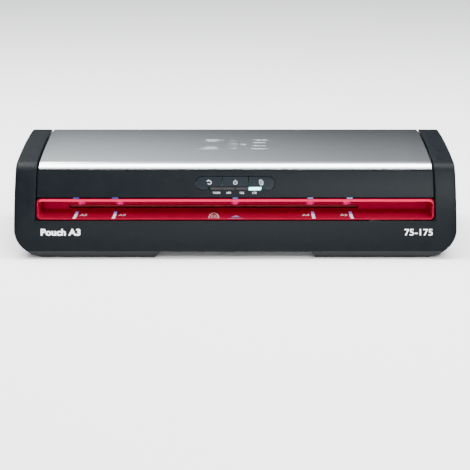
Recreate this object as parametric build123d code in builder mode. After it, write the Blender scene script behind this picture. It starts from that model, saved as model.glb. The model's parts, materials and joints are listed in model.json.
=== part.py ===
"""A3 pouch laminator: an assembly of separate pieces, in millimetres.

X runs along the machine, Y from the front (-) to the back (+), Z up. The origin is
at the middle of the footprint, on the table.
"""
import os
from math import acos, atan2, cos, hypot, pi, radians, sin, sqrt, tan

from build123d import *

# ---------------------------------------------------------------- driving dimensions
width = 490.0             # over the two end towers
depth = 180.0             # front foot to the roundest point of the back
height = 109.0            # table to the top of the cover
seam_z = 9.0              # housing meets base pan
wall = 2.5                # housing and panel wall
edge_round = 2.5          # rounding along the outer ends

front_lean = 37.1         # how far the front top corner stands back from the foot
corner_drop = 9.9         # front top corner below the top of the cover
front_radius = 200.0      # bow of the front
shoulder_radius = 20.0    # rounding between front and cover
rear_round = 5.0

tower_width = 24.0        # end towers, seen from the front
cover_gap = 1.8           # between a tower and the cover
panel_gap = 0.8           # between a tower and the control panel
tray_gap = 1.1            # between a tower and the feed tray
split_gap = 1.4           # between the cover and the control panel
cover_skin = 2.0
return_depth = 8.0        # turned-in flanges along the gaps

split_z = 93.4            # height of the line between cover and panel
panel_low_z = 65.9        # lower edge of the control panel
tray_lip_z = 42.5         # lower edge of the feed tray's rim
tray_rim_gap = 0.8        # between the rim and the parts above and below it
tray_sill = 1.3           # step at the front of the tray's floor
tray_corner = 4.0         # rounding of the recess and of the rim's lower corners
tray_floor_z = 42.6
tray_roof_z = 63.3
tray_back_y = -36.0       # face of the feed tray's back wall
tray_wall = 1.8

slot_length = 328.0       # pouch slot, wide enough for an A3 pouch
slot_height = 4.2
slot_low_z = 42.9
slot_left_margin = 29.6   # slot end to the left tray wall

gear_module = 1.25
roller_teeth = 20
idler_teeth = 28
pinion_teeth = 16
gear_face = 8.0
backlash = 0.1
pressure_angle = radians(20)
mesh_play = 0.15          # added to each gear centre distance

journal_radius = 4.0
core_radius = 8.0
nip_gap = 0.5
carriage_lift = 0.8
plate_thickness = 1.5

button_travel = 0.8
capsule_length = 89.0
capsule_height = 16.2
button_play = 0.6

# ---------------------------------------------------------------- worked-out places
half_width = width / 2
front_foot = (-depth / 2, seam_z)
front_corner = (-depth / 2 + front_lean, height - corner_drop)
rear_top = (depth / 2 - 5, height - 0.4)
inner_half = half_width - tower_width                 # inner edge of a tower
cover_half = inner_half - cover_gap
panel_half = inner_half - panel_gap
tray_half = inner_half - tray_gap

below_z = -15.0           # the outline runs on below the seam and is cut there


def circle_through(first, second, third):
    """Centre and radius of the circle through three points."""
    (x1, y1), (x2, y2), (x3, y3) = first, second, third
    turn = 2 * (x1 * (y2 - y3) + x2 * (y3 - y1) + x3 * (y1 - y2))
    s1, s2, s3 = x1 * x1 + y1 * y1, x2 * x2 + y2 * y2, x3 * x3 + y3 * y3
    x = (s1 * (y2 - y3) + s2 * (y3 - y1) + s3 * (y1 - y2)) / turn
    y = (s1 * (x3 - x2) + s2 * (x1 - x3) + s3 * (x2 - x1)) / turn
    return (x, y), hypot(x1 - x, y1 - y)


def circle_on_chord(start, end, radius):
    """Centre of the circle of this radius through two points, to the right of the chord."""
    dy, dz = end[0] - start[0], end[1] - start[1]
    chord = hypot(dy, dz)
    away = sqrt(radius**2 - (chord / 2) ** 2)
    return (
        (start[0] + end[0]) / 2 + away * dz / chord,
        (start[1] + end[1]) / 2 - away * dy / chord,
    )


front_centre = circle_on_chord(front_foot, front_corner, front_radius)
top_centre, top_radius = circle_through(front_corner, (13, height - 2.1), rear_top)
rear_centre, rear_radius = circle_through(
    rear_top, (depth / 2 - 0.1, height / 2), (depth / 2 - 5, below_z)
)
flank_centre, flank_radius = circle_through(
    (half_width, 30), (half_width - 5, 17.2), (half_width - 13.5, seam_z)
)
flank_end = atan2(seam_z - flank_centre[1], half_width - 13.5 - flank_centre[0])


def front_y(z, inset=0.0):
    """Y of the bowed front surface, or of one inset behind it, at height z."""
    radius = front_radius - inset
    return front_centre[0] - sqrt(radius**2 - (z - front_centre[1]) ** 2)


def rear_y(z, inset=0.0):
    """Y of the bowed rear surface at height z."""
    radius = rear_radius - inset
    return rear_centre[0] + sqrt(radius**2 - (z - rear_centre[1]) ** 2)


def circles_meet(first, first_radius, second, second_radius, near):
    """Point where two circles meet, the one closer to the given point."""
    dy, dz = second[0] - first[0], second[1] - first[1]
    gap = hypot(dy, dz)
    along = (first_radius**2 - second_radius**2 + gap**2) / (2 * gap)
    across = sqrt(first_radius**2 - along**2)
    points = [
        (first[0] + (along * dy - side * across * dz) / gap,
         first[1] + (along * dz + side * across * dy) / gap)
        for side in (-1, 1)
    ]
    return min(points, key=lambda point: hypot(point[0] - near[0], point[1] - near[1]))


def arc_middle(centre, radius, start, end):
    """Point halfway along the short arc between two points of a circle."""
    y, z = (start[0] + end[0]) / 2 - centre[0], (start[1] + end[1]) / 2 - centre[1]
    scale = radius / hypot(y, z)
    return (centre[0] + y * scale, centre[1] + z * scale)


slot_left_x = -tray_half + tray_wall + slot_left_margin
slot_right_x = slot_left_x + slot_length
slot_mid_x = (slot_left_x + slot_right_x) / 2
nip_z = slot_low_z + slot_height / 2

roller_pitch = gear_module * roller_teeth / 2
roller_spacing = 2 * roller_pitch + 0.2               # lower roller to upper roller
sleeve_radius = (roller_spacing - nip_gap) / 2
lower_z = nip_z - roller_spacing / 2
upper_z = nip_z + roller_spacing / 2
idler_reach = gear_module * (roller_teeth + idler_teeth) / 2 + mesh_play
pinion_reach = gear_module * (pinion_teeth + idler_teeth) / 2 + mesh_play
hot_y = tray_back_y + 2.0 + sleeve_radius + 7.65
idler_y = hot_y + idler_reach
cold_y = hot_y + 2 * idler_reach
pinion_z = lower_z + pinion_reach

sleeve_left_x = slot_left_x - 1.5
sleeve_right_x = slot_right_x + 1.0
left_plate_x = sleeve_left_x - 6.0                    # outer face of the left frame plate
right_plate_x = sleeve_right_x + 6.0                  # inner face of the right frame plate
gear_x = right_plate_x + 7.5
motor_plate_x = gear_x + gear_face + 8.0

plate_low_z = lower_z - 18.4
plate_high_z = upper_z + 19.9
plate_front_y = hot_y - 17.0
plate_back_y = cold_y + 19.7
plate_feet_y = (plate_front_y + 17, plate_back_y - 17)


# ---------------------------------------------------------------- shared shapes
def shell_block(inset):
    """Solid inside of the machine's outline, with its outer faces moved in by inset."""
    front, top, rear = front_radius - inset, top_radius - inset, rear_radius - inset
    low_front = (front_y(below_z, inset), below_z)
    low_rear = (rear_y(below_z, inset), below_z)
    shoulder = circles_meet(front_centre, front, top_centre, top, front_corner)
    back_corner = circles_meet(top_centre, top, rear_centre, rear, rear_top)
    flank = flank_radius - inset
    side_x = half_width - inset
    flank_start = (
        side_x, flank_centre[1] - sqrt(flank**2 - (side_x - flank_centre[0]) ** 2)
    )
    flank_low = (
        flank_centre[0] + flank * cos(flank_end), flank_centre[1] + flank * sin(flank_end)
    )
    run = (flank_low[1] - below_z) / cos(flank_end)
    flank_foot = (flank_low[0] + run * sin(flank_end), below_z)
    with BuildPart() as block:
        with BuildSketch(Plane.YZ):
            with BuildLine():
                ThreePointArc(
                    low_front, arc_middle(front_centre, front, low_front, shoulder), shoulder
                )
                ThreePointArc(
                    shoulder, arc_middle(top_centre, top, shoulder, back_corner), back_corner
                )
                ThreePointArc(
                    back_corner, arc_middle(rear_centre, rear, back_corner, low_rear), low_rear
                )
                Line(low_rear, low_front)
            make_face()
            fillet(vertices().sort_by_distance(shoulder)[0], radius=shoulder_radius - inset)
            if inset < rear_round - 1:
                fillet(vertices().sort_by_distance(back_corner)[0], radius=rear_round - inset)
        extrude(amount=half_width + 5, both=True)
        with BuildSketch(Plane.XZ):
            with BuildLine():
                Line((0, height + 10), (side_x, height + 10))
                Line((side_x, height + 10), flank_start)
                ThreePointArc(
                    flank_start, arc_middle(flank_centre, flank, flank_start, flank_low), flank_low
                )
                Line(flank_low, flank_foot)
                Line(flank_foot, (0, below_z))
                mirror(about=Plane.YZ)
            make_face()
        extrude(amount=depth, both=True, mode=Mode.INTERSECT)
    return block.part


def side_prism(points, half_length):
    """Prism whose side view is the polygon given as (Y, Z) points."""
    with BuildPart() as prism:
        with BuildSketch(Plane.YZ):
            with BuildLine():
                Polyline(*points, close=True)
            make_face()
        extrude(amount=half_length, both=True)
    return prism.part


def save(builder, label):
    """Name the piece and write it out."""
    builder.part.label = label
    export_step(builder.part, f"parts/{label}.step")


def gear_blank(teeth, phase, bore, face_x, centre_y, centre_z):
    """Spur gear with involute flanks; phase turns its first tooth, seen along X."""
    pitch = gear_module * teeth / 2
    base = pitch * cos(pressure_angle)
    tip = pitch + gear_module
    root = pitch - 1.25 * gear_module
    half_tooth = pi / 2 / teeth - backlash / 2 / pitch
    inv_pitch = tan(pressure_angle) - pressure_angle

    def flank(radius, side, middle):
        alpha = acos(min(1.0, base / radius))
        angle = middle + side * (half_tooth + inv_pitch - (tan(alpha) - alpha))
        return (radius * cos(angle), radius * sin(angle))

    with BuildPart() as gear:
        with BuildSketch(Plane.YZ.offset(face_x)):
            with BuildLine():
                for tooth in range(teeth):
                    middle = phase + 2 * pi * tooth / teeth
                    radii = [base + (tip - base) * step / 3 for step in range(4)]
                    rise = Spline(*[flank(radius, -1, middle) for radius in radii])
                    fall = Spline(*[flank(radius, 1, middle) for radius in reversed(radii)])
                    ThreePointArc(rise @ 1, (tip * cos(middle), tip * sin(middle)), fall @ 0)
                    low = (root / base * (rise @ 0).X, root / base * (rise @ 0).Y)
                    Line(low, rise @ 0)
                    end = (root / base * (fall @ 1).X, root / base * (fall @ 1).Y)
                    Line(fall @ 1, end)
                    space = middle + pi / teeth
                    start_next = flank(base, -1, middle + 2 * pi / teeth)
                    ThreePointArc(
                        end,
                        (root * cos(space), root * sin(space)),
                        (root / base * start_next[0], root / base * start_next[1]),
                    )
            make_face()
            Circle(bore, mode=Mode.SUBTRACT)
        extrude(amount=gear_face)
    return gear.part.moved(Location((0, centre_y, centre_z)))


def meshing_phase(theta, phase, teeth, next_teeth):
    """Phase of the next gear, which stands at angle theta from this one."""
    offset_teeth = (theta - phase) * teeth / (2 * pi)
    return theta + pi - (2 * pi / next_teeth) * (0.5 - offset_teeth)


def x_cylinder(radius, start_x, end_x, at_y, at_z, bore=0.0):
    """Rod or tube along X."""
    with BuildPart() as rod:
        with BuildSketch(Plane.YZ.offset(start_x)):
            with Locations((at_y, at_z)):
                Circle(radius)
                if bore:
                    Circle(bore, mode=Mode.SUBTRACT)
        extrude(amount=end_x - start_x)
    return rod.part


def block(x_range, y_range, z_range):
    """Box between two values on each axis."""
    with BuildPart() as box:
        middle = [(low + high) / 2 for low, high in (x_range, y_range, z_range)]
        with Locations(tuple(middle)):
            Box(x_range[1] - x_range[0], y_range[1] - y_range[0], z_range[1] - z_range[0])
    return box.part


os.makedirs("parts", exist_ok=True)

# ---------------------------------------------------------------- outer shells
sharp_outer = shell_block(0)
with BuildPart() as rounded_block:
    add(sharp_outer)
    for end in (-1, 1):
        end_face = faces().sort_by(Axis.X)[-1 if end > 0 else 0]
        fillet(end_face.edges().filter_by(lambda edge: edge.center().Z > 32), radius=edge_round)
outer = rounded_block.part
inner = shell_block(wall)
behind_returns = shell_block(return_depth)

opening_low_z = tray_lip_z - tray_rim_gap
opening = side_prism(
    [(-depth, opening_low_z), (cold_y + 14, opening_low_z), (cold_y + 14, height - 11),
     (depth, height - 11), (depth, height + 20), (-depth, height + 20)],
    inner_half,
)
exit_low_z, exit_high_z = nip_z - 6.4, nip_z + 6.4
exit_left_x, exit_right_x = slot_left_x - 3.4, slot_right_x + 3.0
boss_x = (-200.0, -100.0, 100.0, 200.0)
boss_y = (-79.0, 77.0)
boss_places = [(x, y) for x in boss_x for y in boss_y]
boss_low_z, boss_high_z = 12.0, 20.0
inlet_x, inlet_z = 205.0, 33.0


def between(solid, low_x, high_x):
    """Part of a solid between two distances from the middle, on both sides."""
    with BuildPart() as kept:
        add(solid)
        add(block((-high_x, high_x), (-depth, depth), (-height, 2 * height)), mode=Mode.INTERSECT)
        if low_x > 0:
            add(block((-low_x, low_x), (-depth, depth), (-height, 2 * height)), mode=Mode.SUBTRACT)
    return kept.part




def lower_corners(half, low_z, radius):
    """Fillings for the two lower corners of the front opening, square outside."""
    with BuildPart() as corners:
        with BuildSketch(Plane.XZ.offset(depth / 2 - 10)):
            for side in (-1, 1):
                with Locations((side * (half - radius / 2), low_z + radius / 2)):
                    Rectangle(radius, radius)
            with Locations((half - radius, low_z + radius), (radius - half, low_z + radius)):
                Circle(radius, mode=Mode.SUBTRACT)
        extrude(amount=20, both=True)
    return corners.part


middle_cavity = between(inner, 0, inner_half)
front_wall = side_prism(
    [(-depth, 0), (front_y(opening_low_z) + wall, 0),
     (front_y(opening_low_z) + wall, height), (-depth, height)],
    half_width,
)
with BuildPart() as corner_fillings:
    add(lower_corners(inner_half, opening_low_z, tray_corner + tray_rim_gap))
    add(front_wall, mode=Mode.INTERSECT)
with BuildPart() as rounded_opening:
    add(opening)
    add(corner_fillings.part, mode=Mode.SUBTRACT)
with BuildPart() as rim_space:
    add(inner)
    add(block((-width, width), (-depth, depth), (-height, boss_low_z)), mode=Mode.INTERSECT)
tower_cavities = between(inner, inner_half + 2.0, width)
with BuildPart() as main_housing:
    add(outer)
    add(middle_cavity, mode=Mode.SUBTRACT)
    add(tower_cavities, mode=Mode.SUBTRACT)
    add(behind_returns, mode=Mode.SUBTRACT)
    add(rim_space.part, mode=Mode.SUBTRACT)
    with BuildSketch(Plane.XY.offset(seam_z)):
        Rectangle(2 * width, 2 * depth)
    extrude(amount=2 * height, mode=Mode.INTERSECT)
    add(rounded_opening.part, mode=Mode.SUBTRACT)
    with BuildSketch(Plane.XZ.offset(-depth / 2 - 5)):
        with Locations(((exit_left_x + exit_right_x) / 2, nip_z)):
            RectangleRounded(exit_right_x - exit_left_x, exit_high_z - exit_low_z, 1.0)
        with Locations((inlet_x, inlet_z)):
            RectangleRounded(31, 23, 0.9)
        with Locations((190, 76)):
            with GridLocations(8, 30, 6, 1):
                SlotOverall(24, 2.8, rotation=90)
        with Locations((-120, 76)):
            with GridLocations(8, 30, 16, 1):
                SlotOverall(20, 2.8, rotation=90)
    extrude(amount=20, mode=Mode.SUBTRACT)
    for x, y in boss_places:
        reach = -9.4 if y < 0 else 10.6
        add(block((x - 1.5, x + 1.5), sorted((y, y + reach)), (boss_low_z, boss_high_z)))
    with BuildSketch(Plane.XY.offset(boss_low_z)):
        with Locations(*boss_places):
            Circle(4.0)
    extrude(amount=boss_high_z - boss_low_z)
    with BuildSketch(Plane.XY.offset(boss_low_z)):
        with Locations(*boss_places):
            Circle(1.8)
    extrude(amount=7.0, mode=Mode.SUBTRACT)
save(main_housing, "main_housing")

# ---------------------------------------------------------------- base pan
pan_low_z = 1.0
skirt_x = 88.5            # inner foot of the two skirts
skirt_slope = 4.5
floor_z = pan_low_z + 2.5
plate_z = seam_z + 1.5    # top of the raised middle plate
rim_top_z = 11.5
rim_block = shell_block(wall + 0.25)
half_seam = half_width - 13.5

with BuildPart() as pan_rim:
    add(rim_block)
    with BuildSketch(Plane.XY.offset(seam_z - 1)):
        Rectangle(2 * width, 2 * depth)
    extrude(amount=rim_top_z - seam_z + 1, mode=Mode.INTERSECT)

with BuildPart() as base_pan:
    with BuildSketch(Plane.XZ):
        with BuildLine():
            Polyline(
                (0, seam_z - 1), (skirt_x - skirt_slope, seam_z - 1),
                (skirt_x, pan_low_z), (half_seam - 17.5, pan_low_z),
                (half_seam - 5.5, 4.2), (half_seam - 0.5, seam_z), (0, seam_z),
            )
            mirror(about=Plane.YZ)
        make_face()
    extrude(amount=depth, both=True)
    with BuildSketch(Plane.YZ):
        with BuildLine():
            Polyline(
                (-depth / 2 + 0.8, seam_z), (-depth / 2 + 4, pan_low_z),
                (depth / 2 - 7, pan_low_z), (depth / 2 - 3.8, seam_z), close=True,
            )
        make_face()
    extrude(amount=half_width, both=True, mode=Mode.INTERSECT)
    add(pan_rim.part)
    with BuildSketch(Plane.XZ.offset(depth / 2 - 5.5)):
        for side in (-1, 1):
            with BuildLine():
                Polyline(
                    (side * (skirt_x + 3), floor_z), (side * (half_seam - 18.5), floor_z),
                    (side * (half_seam - 9.5), 6.2), (side * (half_seam - 6), plate_z),
                    (side * (half_seam - 6), 2 * seam_z), (side * (skirt_x + 3), 2 * seam_z),
                    close=True,
                )
            make_face()
    extrude(amount=-(depth - 14.0), mode=Mode.SUBTRACT)
    add(block((-skirt_x - 4, skirt_x + 4), (-depth / 2 + 5.5, depth / 2 - 8.5),
              (plate_z, rim_top_z + 2)), mode=Mode.SUBTRACT)
    # pillars under the housing bosses, open below for the screws
    with BuildSketch(Plane.XY.offset(pan_low_z)):
        with Locations(*boss_places):
            Circle(5.5)
    extrude(amount=boss_low_z - pan_low_z)
    with BuildSketch(Plane.XY.offset(pan_low_z)):
        with Locations(*boss_places):
            Circle(3.8)
    extrude(amount=6.0, mode=Mode.SUBTRACT)
    with BuildSketch(Plane.XY.offset(pan_low_z)):
        with Locations(*boss_places):
            Circle(2.4)
    extrude(amount=boss_low_z, mode=Mode.SUBTRACT)
    # pedestals for the frame plates and the main board
    pedestals = [(x, y) for x in (left_plate_x + 6.5, right_plate_x + 5.0)
                 for y in plate_feet_y]
    with BuildSketch(Plane.XY.offset(floor_z - 1)):
        with Locations(*pedestals):
            Circle(4.0)
    extrude(amount=plate_low_z - floor_z + 1)
    board_places = [(x, y) for x in (motor_plate_x + 7, inner_half - 6) for y in (-34, 54)]
    with BuildSketch(Plane.XY.offset(floor_z - 1)):
        with Locations(*board_places):
            Circle(3.5)
    extrude(amount=12.0 - floor_z + 1)
    # cooling slots in the skirts' floors
    with BuildSketch(Plane.XY):
        for x in (-150, 150):
            with Locations((x, 0)):
                with GridLocations(9, 34, 7, 3):
                    SlotOverall(26, 3.0, rotation=90)
    extrude(amount=floor_z + 1, mode=Mode.SUBTRACT)
save(base_pan, "base_pan")

feet_places = [(x, y) for x in (-195, 195) for y in (-64, 64)]
with BuildPart() as rubber_feet:
    with BuildSketch(Plane.XY):
        with Locations(*feet_places):
            Circle(9.0)
    extrude(amount=pan_low_z)
save(rubber_feet, "rubber_feet")

with BuildPart() as base_screws:
    with BuildSketch(Plane.XY.offset(pan_low_z + 3.4)):
        with Locations(*boss_places):
            Circle(3.4)
    extrude(amount=2.6)
    with BuildSketch(Plane.XY.offset(pan_low_z + 3.4)):
        with Locations(*boss_places):
            Circle(1.5)
    extrude(amount=13.0)
    with BuildSketch(Plane.XY.offset(pan_low_z + 3.4)):
        with Locations(*boss_places):
            Rectangle(4.2, 0.9)
            Rectangle(0.9, 4.2)
    extrude(amount=1.4, mode=Mode.SUBTRACT)
save(base_screws, "base_screws")

# ---------------------------------------------------------------- cover and control panel
split_dir = radians(42)
split_point = (front_y(split_z) + 0.6, split_z)


def split_at(shift, reach):
    """Point on the cover's parting line, shifted along the surface and outwards."""
    return (
        split_point[0] + shift * sin(split_dir) - reach * cos(split_dir),
        split_point[1] + shift * cos(split_dir) + reach * sin(split_dir),
    )


cover_region = side_prism(
    [split_at(split_gap / 2, 40), split_at(split_gap / 2, -20),
     (front_corner[0] + 40, height - 30), (depth / 2 - 15, height - 10.4),
     (depth, height - 10.4), (depth, height + 40), (-depth, height + 40)],
    cover_half,
)
panel_region = side_prism(
    [split_at(-split_gap / 2, 60), split_at(-split_gap / 2, -20),
     (front_y(panel_low_z) + 30, panel_low_z), (-depth, panel_low_z)],
    panel_half,
)
cover_inside = shell_block(cover_skin)
with BuildPart() as top_cover:
    add(sharp_outer)
    add(cover_region, mode=Mode.INTERSECT)
    add(between(cover_inside, 0, cover_half - 2.0), mode=Mode.SUBTRACT)
    add(behind_returns, mode=Mode.SUBTRACT)
save(top_cover, "top_cover")

button_z = 80.2
button_plane = Plane(
    origin=(0, front_y(button_z), button_z), x_dir=(1, 0, 0),
    z_dir=(0, -cos(radians(30)), sin(radians(30))),
)
board_depth = 10.6        # control board's front face, behind the panel's surface
board_half = 56.0
panel_post_x = 51.0
with BuildPart() as control_panel:
    add(sharp_outer)
    add(panel_region, mode=Mode.INTERSECT)
    add(between(inner, 0, panel_half - 2.0), mode=Mode.SUBTRACT)
    add(behind_returns, mode=Mode.SUBTRACT)
    with BuildSketch(button_plane):
        SlotOverall(capsule_length, capsule_height)
    extrude(amount=20, both=True, mode=Mode.SUBTRACT)
    with BuildSketch(button_plane.offset(-board_depth)):
        with Locations((-panel_post_x, 1), (panel_post_x, 1)):
            Circle(2.5)
    extrude(amount=board_depth - 1.5)
save(control_panel, "control_panel")

# ---------------------------------------------------------------- buttons and indicators
divider_x = 14.7
divider_gap = 0.9
window_low, window_high = -capsule_height / 2 + 0.5, -4.4
window_pitch = divider_x
window_gap = 0.7
button_base = 5.0
button_names = ("reverse", "power", "thickness")
button_ranges = (
    (-capsule_length, -divider_x - divider_gap / 2),
    (-divider_x + divider_gap / 2, divider_x - divider_gap / 2),
    (divider_x + divider_gap / 2, capsule_length),
)
button_centres = (-28.7, 0.0, 28.7)
notch_half = 2 * window_pitch + 1.0

for name, (low_x, high_x), middle_x in zip(button_names, button_ranges, button_centres):
    with BuildPart() as button:
        with BuildSketch(button_plane.offset(-button_base)):
            SlotOverall(capsule_length - 2 * button_play, capsule_height - 2 * button_play)
            with Locations(((low_x + high_x) / 2, 0)):
                Rectangle(high_x - low_x, 40, mode=Mode.INTERSECT)
            with Locations((0, window_high + 0.5 - 20)):
                Rectangle(2 * notch_half, 40, mode=Mode.SUBTRACT)
        extrude(amount=button_base + 5)
        add(sharp_outer, mode=Mode.INTERSECT)
        with BuildSketch(button_plane.offset(-button_base)):
            with Locations((middle_x, capsule_height / 2)):
                Rectangle(20, 4)
        extrude(amount=1.6)
        with BuildSketch(button_plane.offset(-button_base)):
            with Locations((middle_x, 1)):
                Circle(2.5)
        extrude(amount=-2.2)
    save(button, f"{name}_button")
    with BuildPart() as stem:
        with BuildSketch(button_plane.offset(-button_base - 2.2)):
            with Locations((middle_x, 1)):
                Circle(1.5)
        extrude(amount=-1.6)
    save(stem, f"{name}_switch_stem")

switch_places = [(x, 1.0) for x in button_centres]
with BuildPart() as switch_bodies:
    with BuildSketch(button_plane.offset(-board_depth)):
        with Locations(*switch_places):
            Rectangle(6, 6)
    extrude(amount=2.4)
    with BuildSketch(button_plane.offset(-board_depth + 2.4)):
        with Locations(*switch_places):
            Circle(1.9)
    extrude(amount=-1.8, mode=Mode.SUBTRACT)
save(switch_bodies, "switch_bodies")

with BuildPart() as control_board:
    with BuildSketch(button_plane.offset(-board_depth)):
        with Locations((0, 1.5)):
            Rectangle(2 * board_half, 17)
        with Locations((-panel_post_x, 1), (panel_post_x, 1)):
            Circle(1.2, mode=Mode.SUBTRACT)
    extrude(amount=-1.6)
save(control_board, "control_board")


def window_outline(index):
    """Corners of one indicator window; the outer ends of the row are slanted."""
    left = (index - 2) * window_pitch + window_gap / 2
    right = (index - 1) * window_pitch - window_gap / 2
    slant = 2.2
    return [
        (left + (slant if index == 0 else 0), window_low),
        (right - (slant if index == 3 else 0), window_low),
        (right, window_high), (left, window_high),
    ]


def window_blocks(indexes):
    """Clear blocks from just under the panel's surface towards the LEDs."""
    with BuildPart() as windows:
        with BuildSketch(button_plane.offset(-8.0)):
            for index in indexes:
                with BuildLine():
                    Polyline(*window_outline(index), close=True)
                make_face()
        extrude(amount=8.0 - 0.35)
    return windows


lit_index = 3
save(window_blocks([0, 1, 2]), "indicator_windows")
save(window_blocks([lit_index]), "lit_indicator_window")

led_y = (window_low + window_high) / 2
with BuildPart() as indicator_leds:
    with BuildSketch(button_plane.offset(-board_depth)):
        with Locations(*[((index - 1.5) * window_pitch, led_y) for index in range(4)]):
            Rectangle(3.2, 1.8)
    extrude(amount=1.2)
save(indicator_leds, "indicator_leds")

# ---------------------------------------------------------------- feed tray and its lights
light_x = (-176.5, -133.0, 0.0, 83.0, 126.5)
notch_z = tray_roof_z + 0.8
tray_top_z = panel_low_z - tray_rim_gap
board_front_y = front_y(notch_z) + 10.5
sill_depth = 4.2          # the sill reaches over the housing's wall to the tray's underside
tray_side = side_prism(
    [(-depth, tray_lip_z), (front_y(tray_lip_z) + 3.2, tray_lip_z),
     (front_y(tray_lip_z) + 3.2, tray_floor_z - tray_wall), (tray_back_y + 2, tray_floor_z - tray_wall),
     (tray_back_y + 2, tray_roof_z + 1.7), (front_y(tray_top_z) + 4, tray_roof_z + 1.7),
     (front_y(tray_top_z) + 4, tray_top_z), (-depth, tray_top_z)],
    tray_half,
)
with BuildPart() as feed_tray:
    add(sharp_outer)
    add(tray_side, mode=Mode.INTERSECT)
    add(lower_corners(tray_half, tray_lip_z, tray_corner), mode=Mode.SUBTRACT)
    with BuildSketch(Plane.XZ.offset(-tray_back_y)):
        with Locations((0, (tray_floor_z + tray_roof_z) / 2)):
            RectangleRounded(2 * (tray_half - tray_wall), tray_roof_z - tray_floor_z, tray_corner)
    extrude(amount=-front_y(tray_floor_z) + tray_back_y - sill_depth, mode=Mode.SUBTRACT)
    with BuildSketch(Plane.XZ.offset(-front_y(tray_floor_z) - sill_depth - 0.1)):
        with Locations((0, (tray_floor_z + tray_sill + tray_roof_z) / 2)):
            RectangleRounded(2 * (tray_half - tray_wall), tray_roof_z - tray_floor_z - tray_sill,
                             tray_corner)
    extrude(amount=20, mode=Mode.SUBTRACT)
    with BuildSketch(Plane.XZ.offset(-tray_back_y)):
        with Locations((slot_mid_x, nip_z)):
            RectangleRounded(slot_length, slot_height, 1.2)
    extrude(amount=-4, mode=Mode.SUBTRACT)
    with BuildSketch(Plane.XY.offset(notch_z)):
        for x in light_x:
            with Locations((x, (board_front_y + 2 - depth) / 2)):
                Rectangle(7.2, depth + board_front_y + 2)
    extrude(amount=5, mode=Mode.SUBTRACT)
save(feed_tray, "feed_tray")

with BuildPart() as guide_light_lenses:
    for x in light_x:
        add(block((x - 3.2, x + 3.2), (front_y(notch_z) - 4, board_front_y - 2.4),
                  (notch_z + 0.15, panel_low_z - 0.15)))
    add(sharp_outer, mode=Mode.INTERSECT)
save(guide_light_lenses, "guide_light_lenses")

with BuildPart() as guide_leds:
    for x in light_x:
        add(block((x - 1.6, x + 1.6), (board_front_y - 1.6, board_front_y),
                  (notch_z + 0.2, notch_z + 2.2)))
save(guide_leds, "guide_leds")

with BuildPart() as guide_light_board:
    add(block((light_x[0] - 8, light_x[-1] + 8), (board_front_y, board_front_y + 1.2),
              (tray_roof_z + 1.8, tray_roof_z + 4.8)))
save(guide_light_board, "guide_light_board")

# ---------------------------------------------------------------- exit guide and inlet
guide_y = plate_back_y + 2
with BuildPart() as exit_guide:
    add(block((exit_left_x + 0.4, exit_right_x - 0.4), (guide_y, depth),
              (exit_low_z + 0.4, exit_high_z - 0.4)))
    add(sharp_outer, mode=Mode.INTERSECT)
    add(block((slot_left_x - 1.5, slot_right_x + 1.5), (0, depth), (nip_z - 3.2, nip_z + 3.2)),
        mode=Mode.SUBTRACT)
    for end_x in (slot_left_x - 1.5, slot_right_x + 1.5):
        with BuildSketch(Plane.YZ):
            with BuildLine():
                Polyline((guide_y, nip_z - 4.8), (guide_y + 8, nip_z), (guide_y, nip_z + 4.8),
                         close=True)
            make_face()
        extrude(amount=end_x, mode=Mode.SUBTRACT)
save(exit_guide, "exit_guide")

inlet_face_y = depth / 2 - 1.5
with BuildPart() as power_inlet:
    add(block((inlet_x - 15.2, inlet_x + 15.2), (inlet_face_y - 3, inlet_face_y),
              (inlet_z - 11.2, inlet_z + 11.2)))
    add(block((inlet_x - 13.5, inlet_x + 13.5), (inlet_face_y - 21, inlet_face_y - 3),
              (inlet_z - 10, inlet_z + 10)))
    with BuildSketch(Plane.XZ.offset(-inlet_face_y)):
        with BuildLine():
            Polyline(
                (inlet_x - 12, inlet_z - 8), (inlet_x + 12, inlet_z - 8),
                (inlet_x + 12, inlet_z + 3), (inlet_x + 7, inlet_z + 8),
                (inlet_x - 7, inlet_z + 8), (inlet_x - 12, inlet_z + 3), close=True,
            )
        make_face()
    extrude(amount=17, mode=Mode.SUBTRACT)
    for x, z in ((-7, 1.5), (0, -2.5), (7, 1.5)):
        add(block((inlet_x + x - 1, inlet_x + x + 1), (inlet_face_y - 18, inlet_face_y - 3),
                  (inlet_z + z - 2, inlet_z + z + 2)))
    for x in (-7, 0, 7):
        add(block((inlet_x + x - 2.4, inlet_x + x + 2.4), (inlet_face_y - 29, inlet_face_y - 20),
                  (inlet_z - 0.4, inlet_z + 0.4)))
save(power_inlet, "power_inlet")

# ---------------------------------------------------------------- frame plates
bearing_half = 8.0
tongue_half = 7.8
bush_radius = 7.0
bar_places = ((plate_front_y + 4.5, plate_low_z + 4.2), (plate_back_y - 5.5, plate_low_z + 4.2),
              (idler_y, upper_z + 9))
post_places = ((plate_front_y + 5.5, plate_high_z - 5.5), (plate_back_y - 5.5, plate_high_z - 5.5),
               (idler_y - 18.6, plate_low_z + 3.5))
bar_radius = 4.0
screw_hole = 1.9
idler_axle_radius = 3.0


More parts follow.
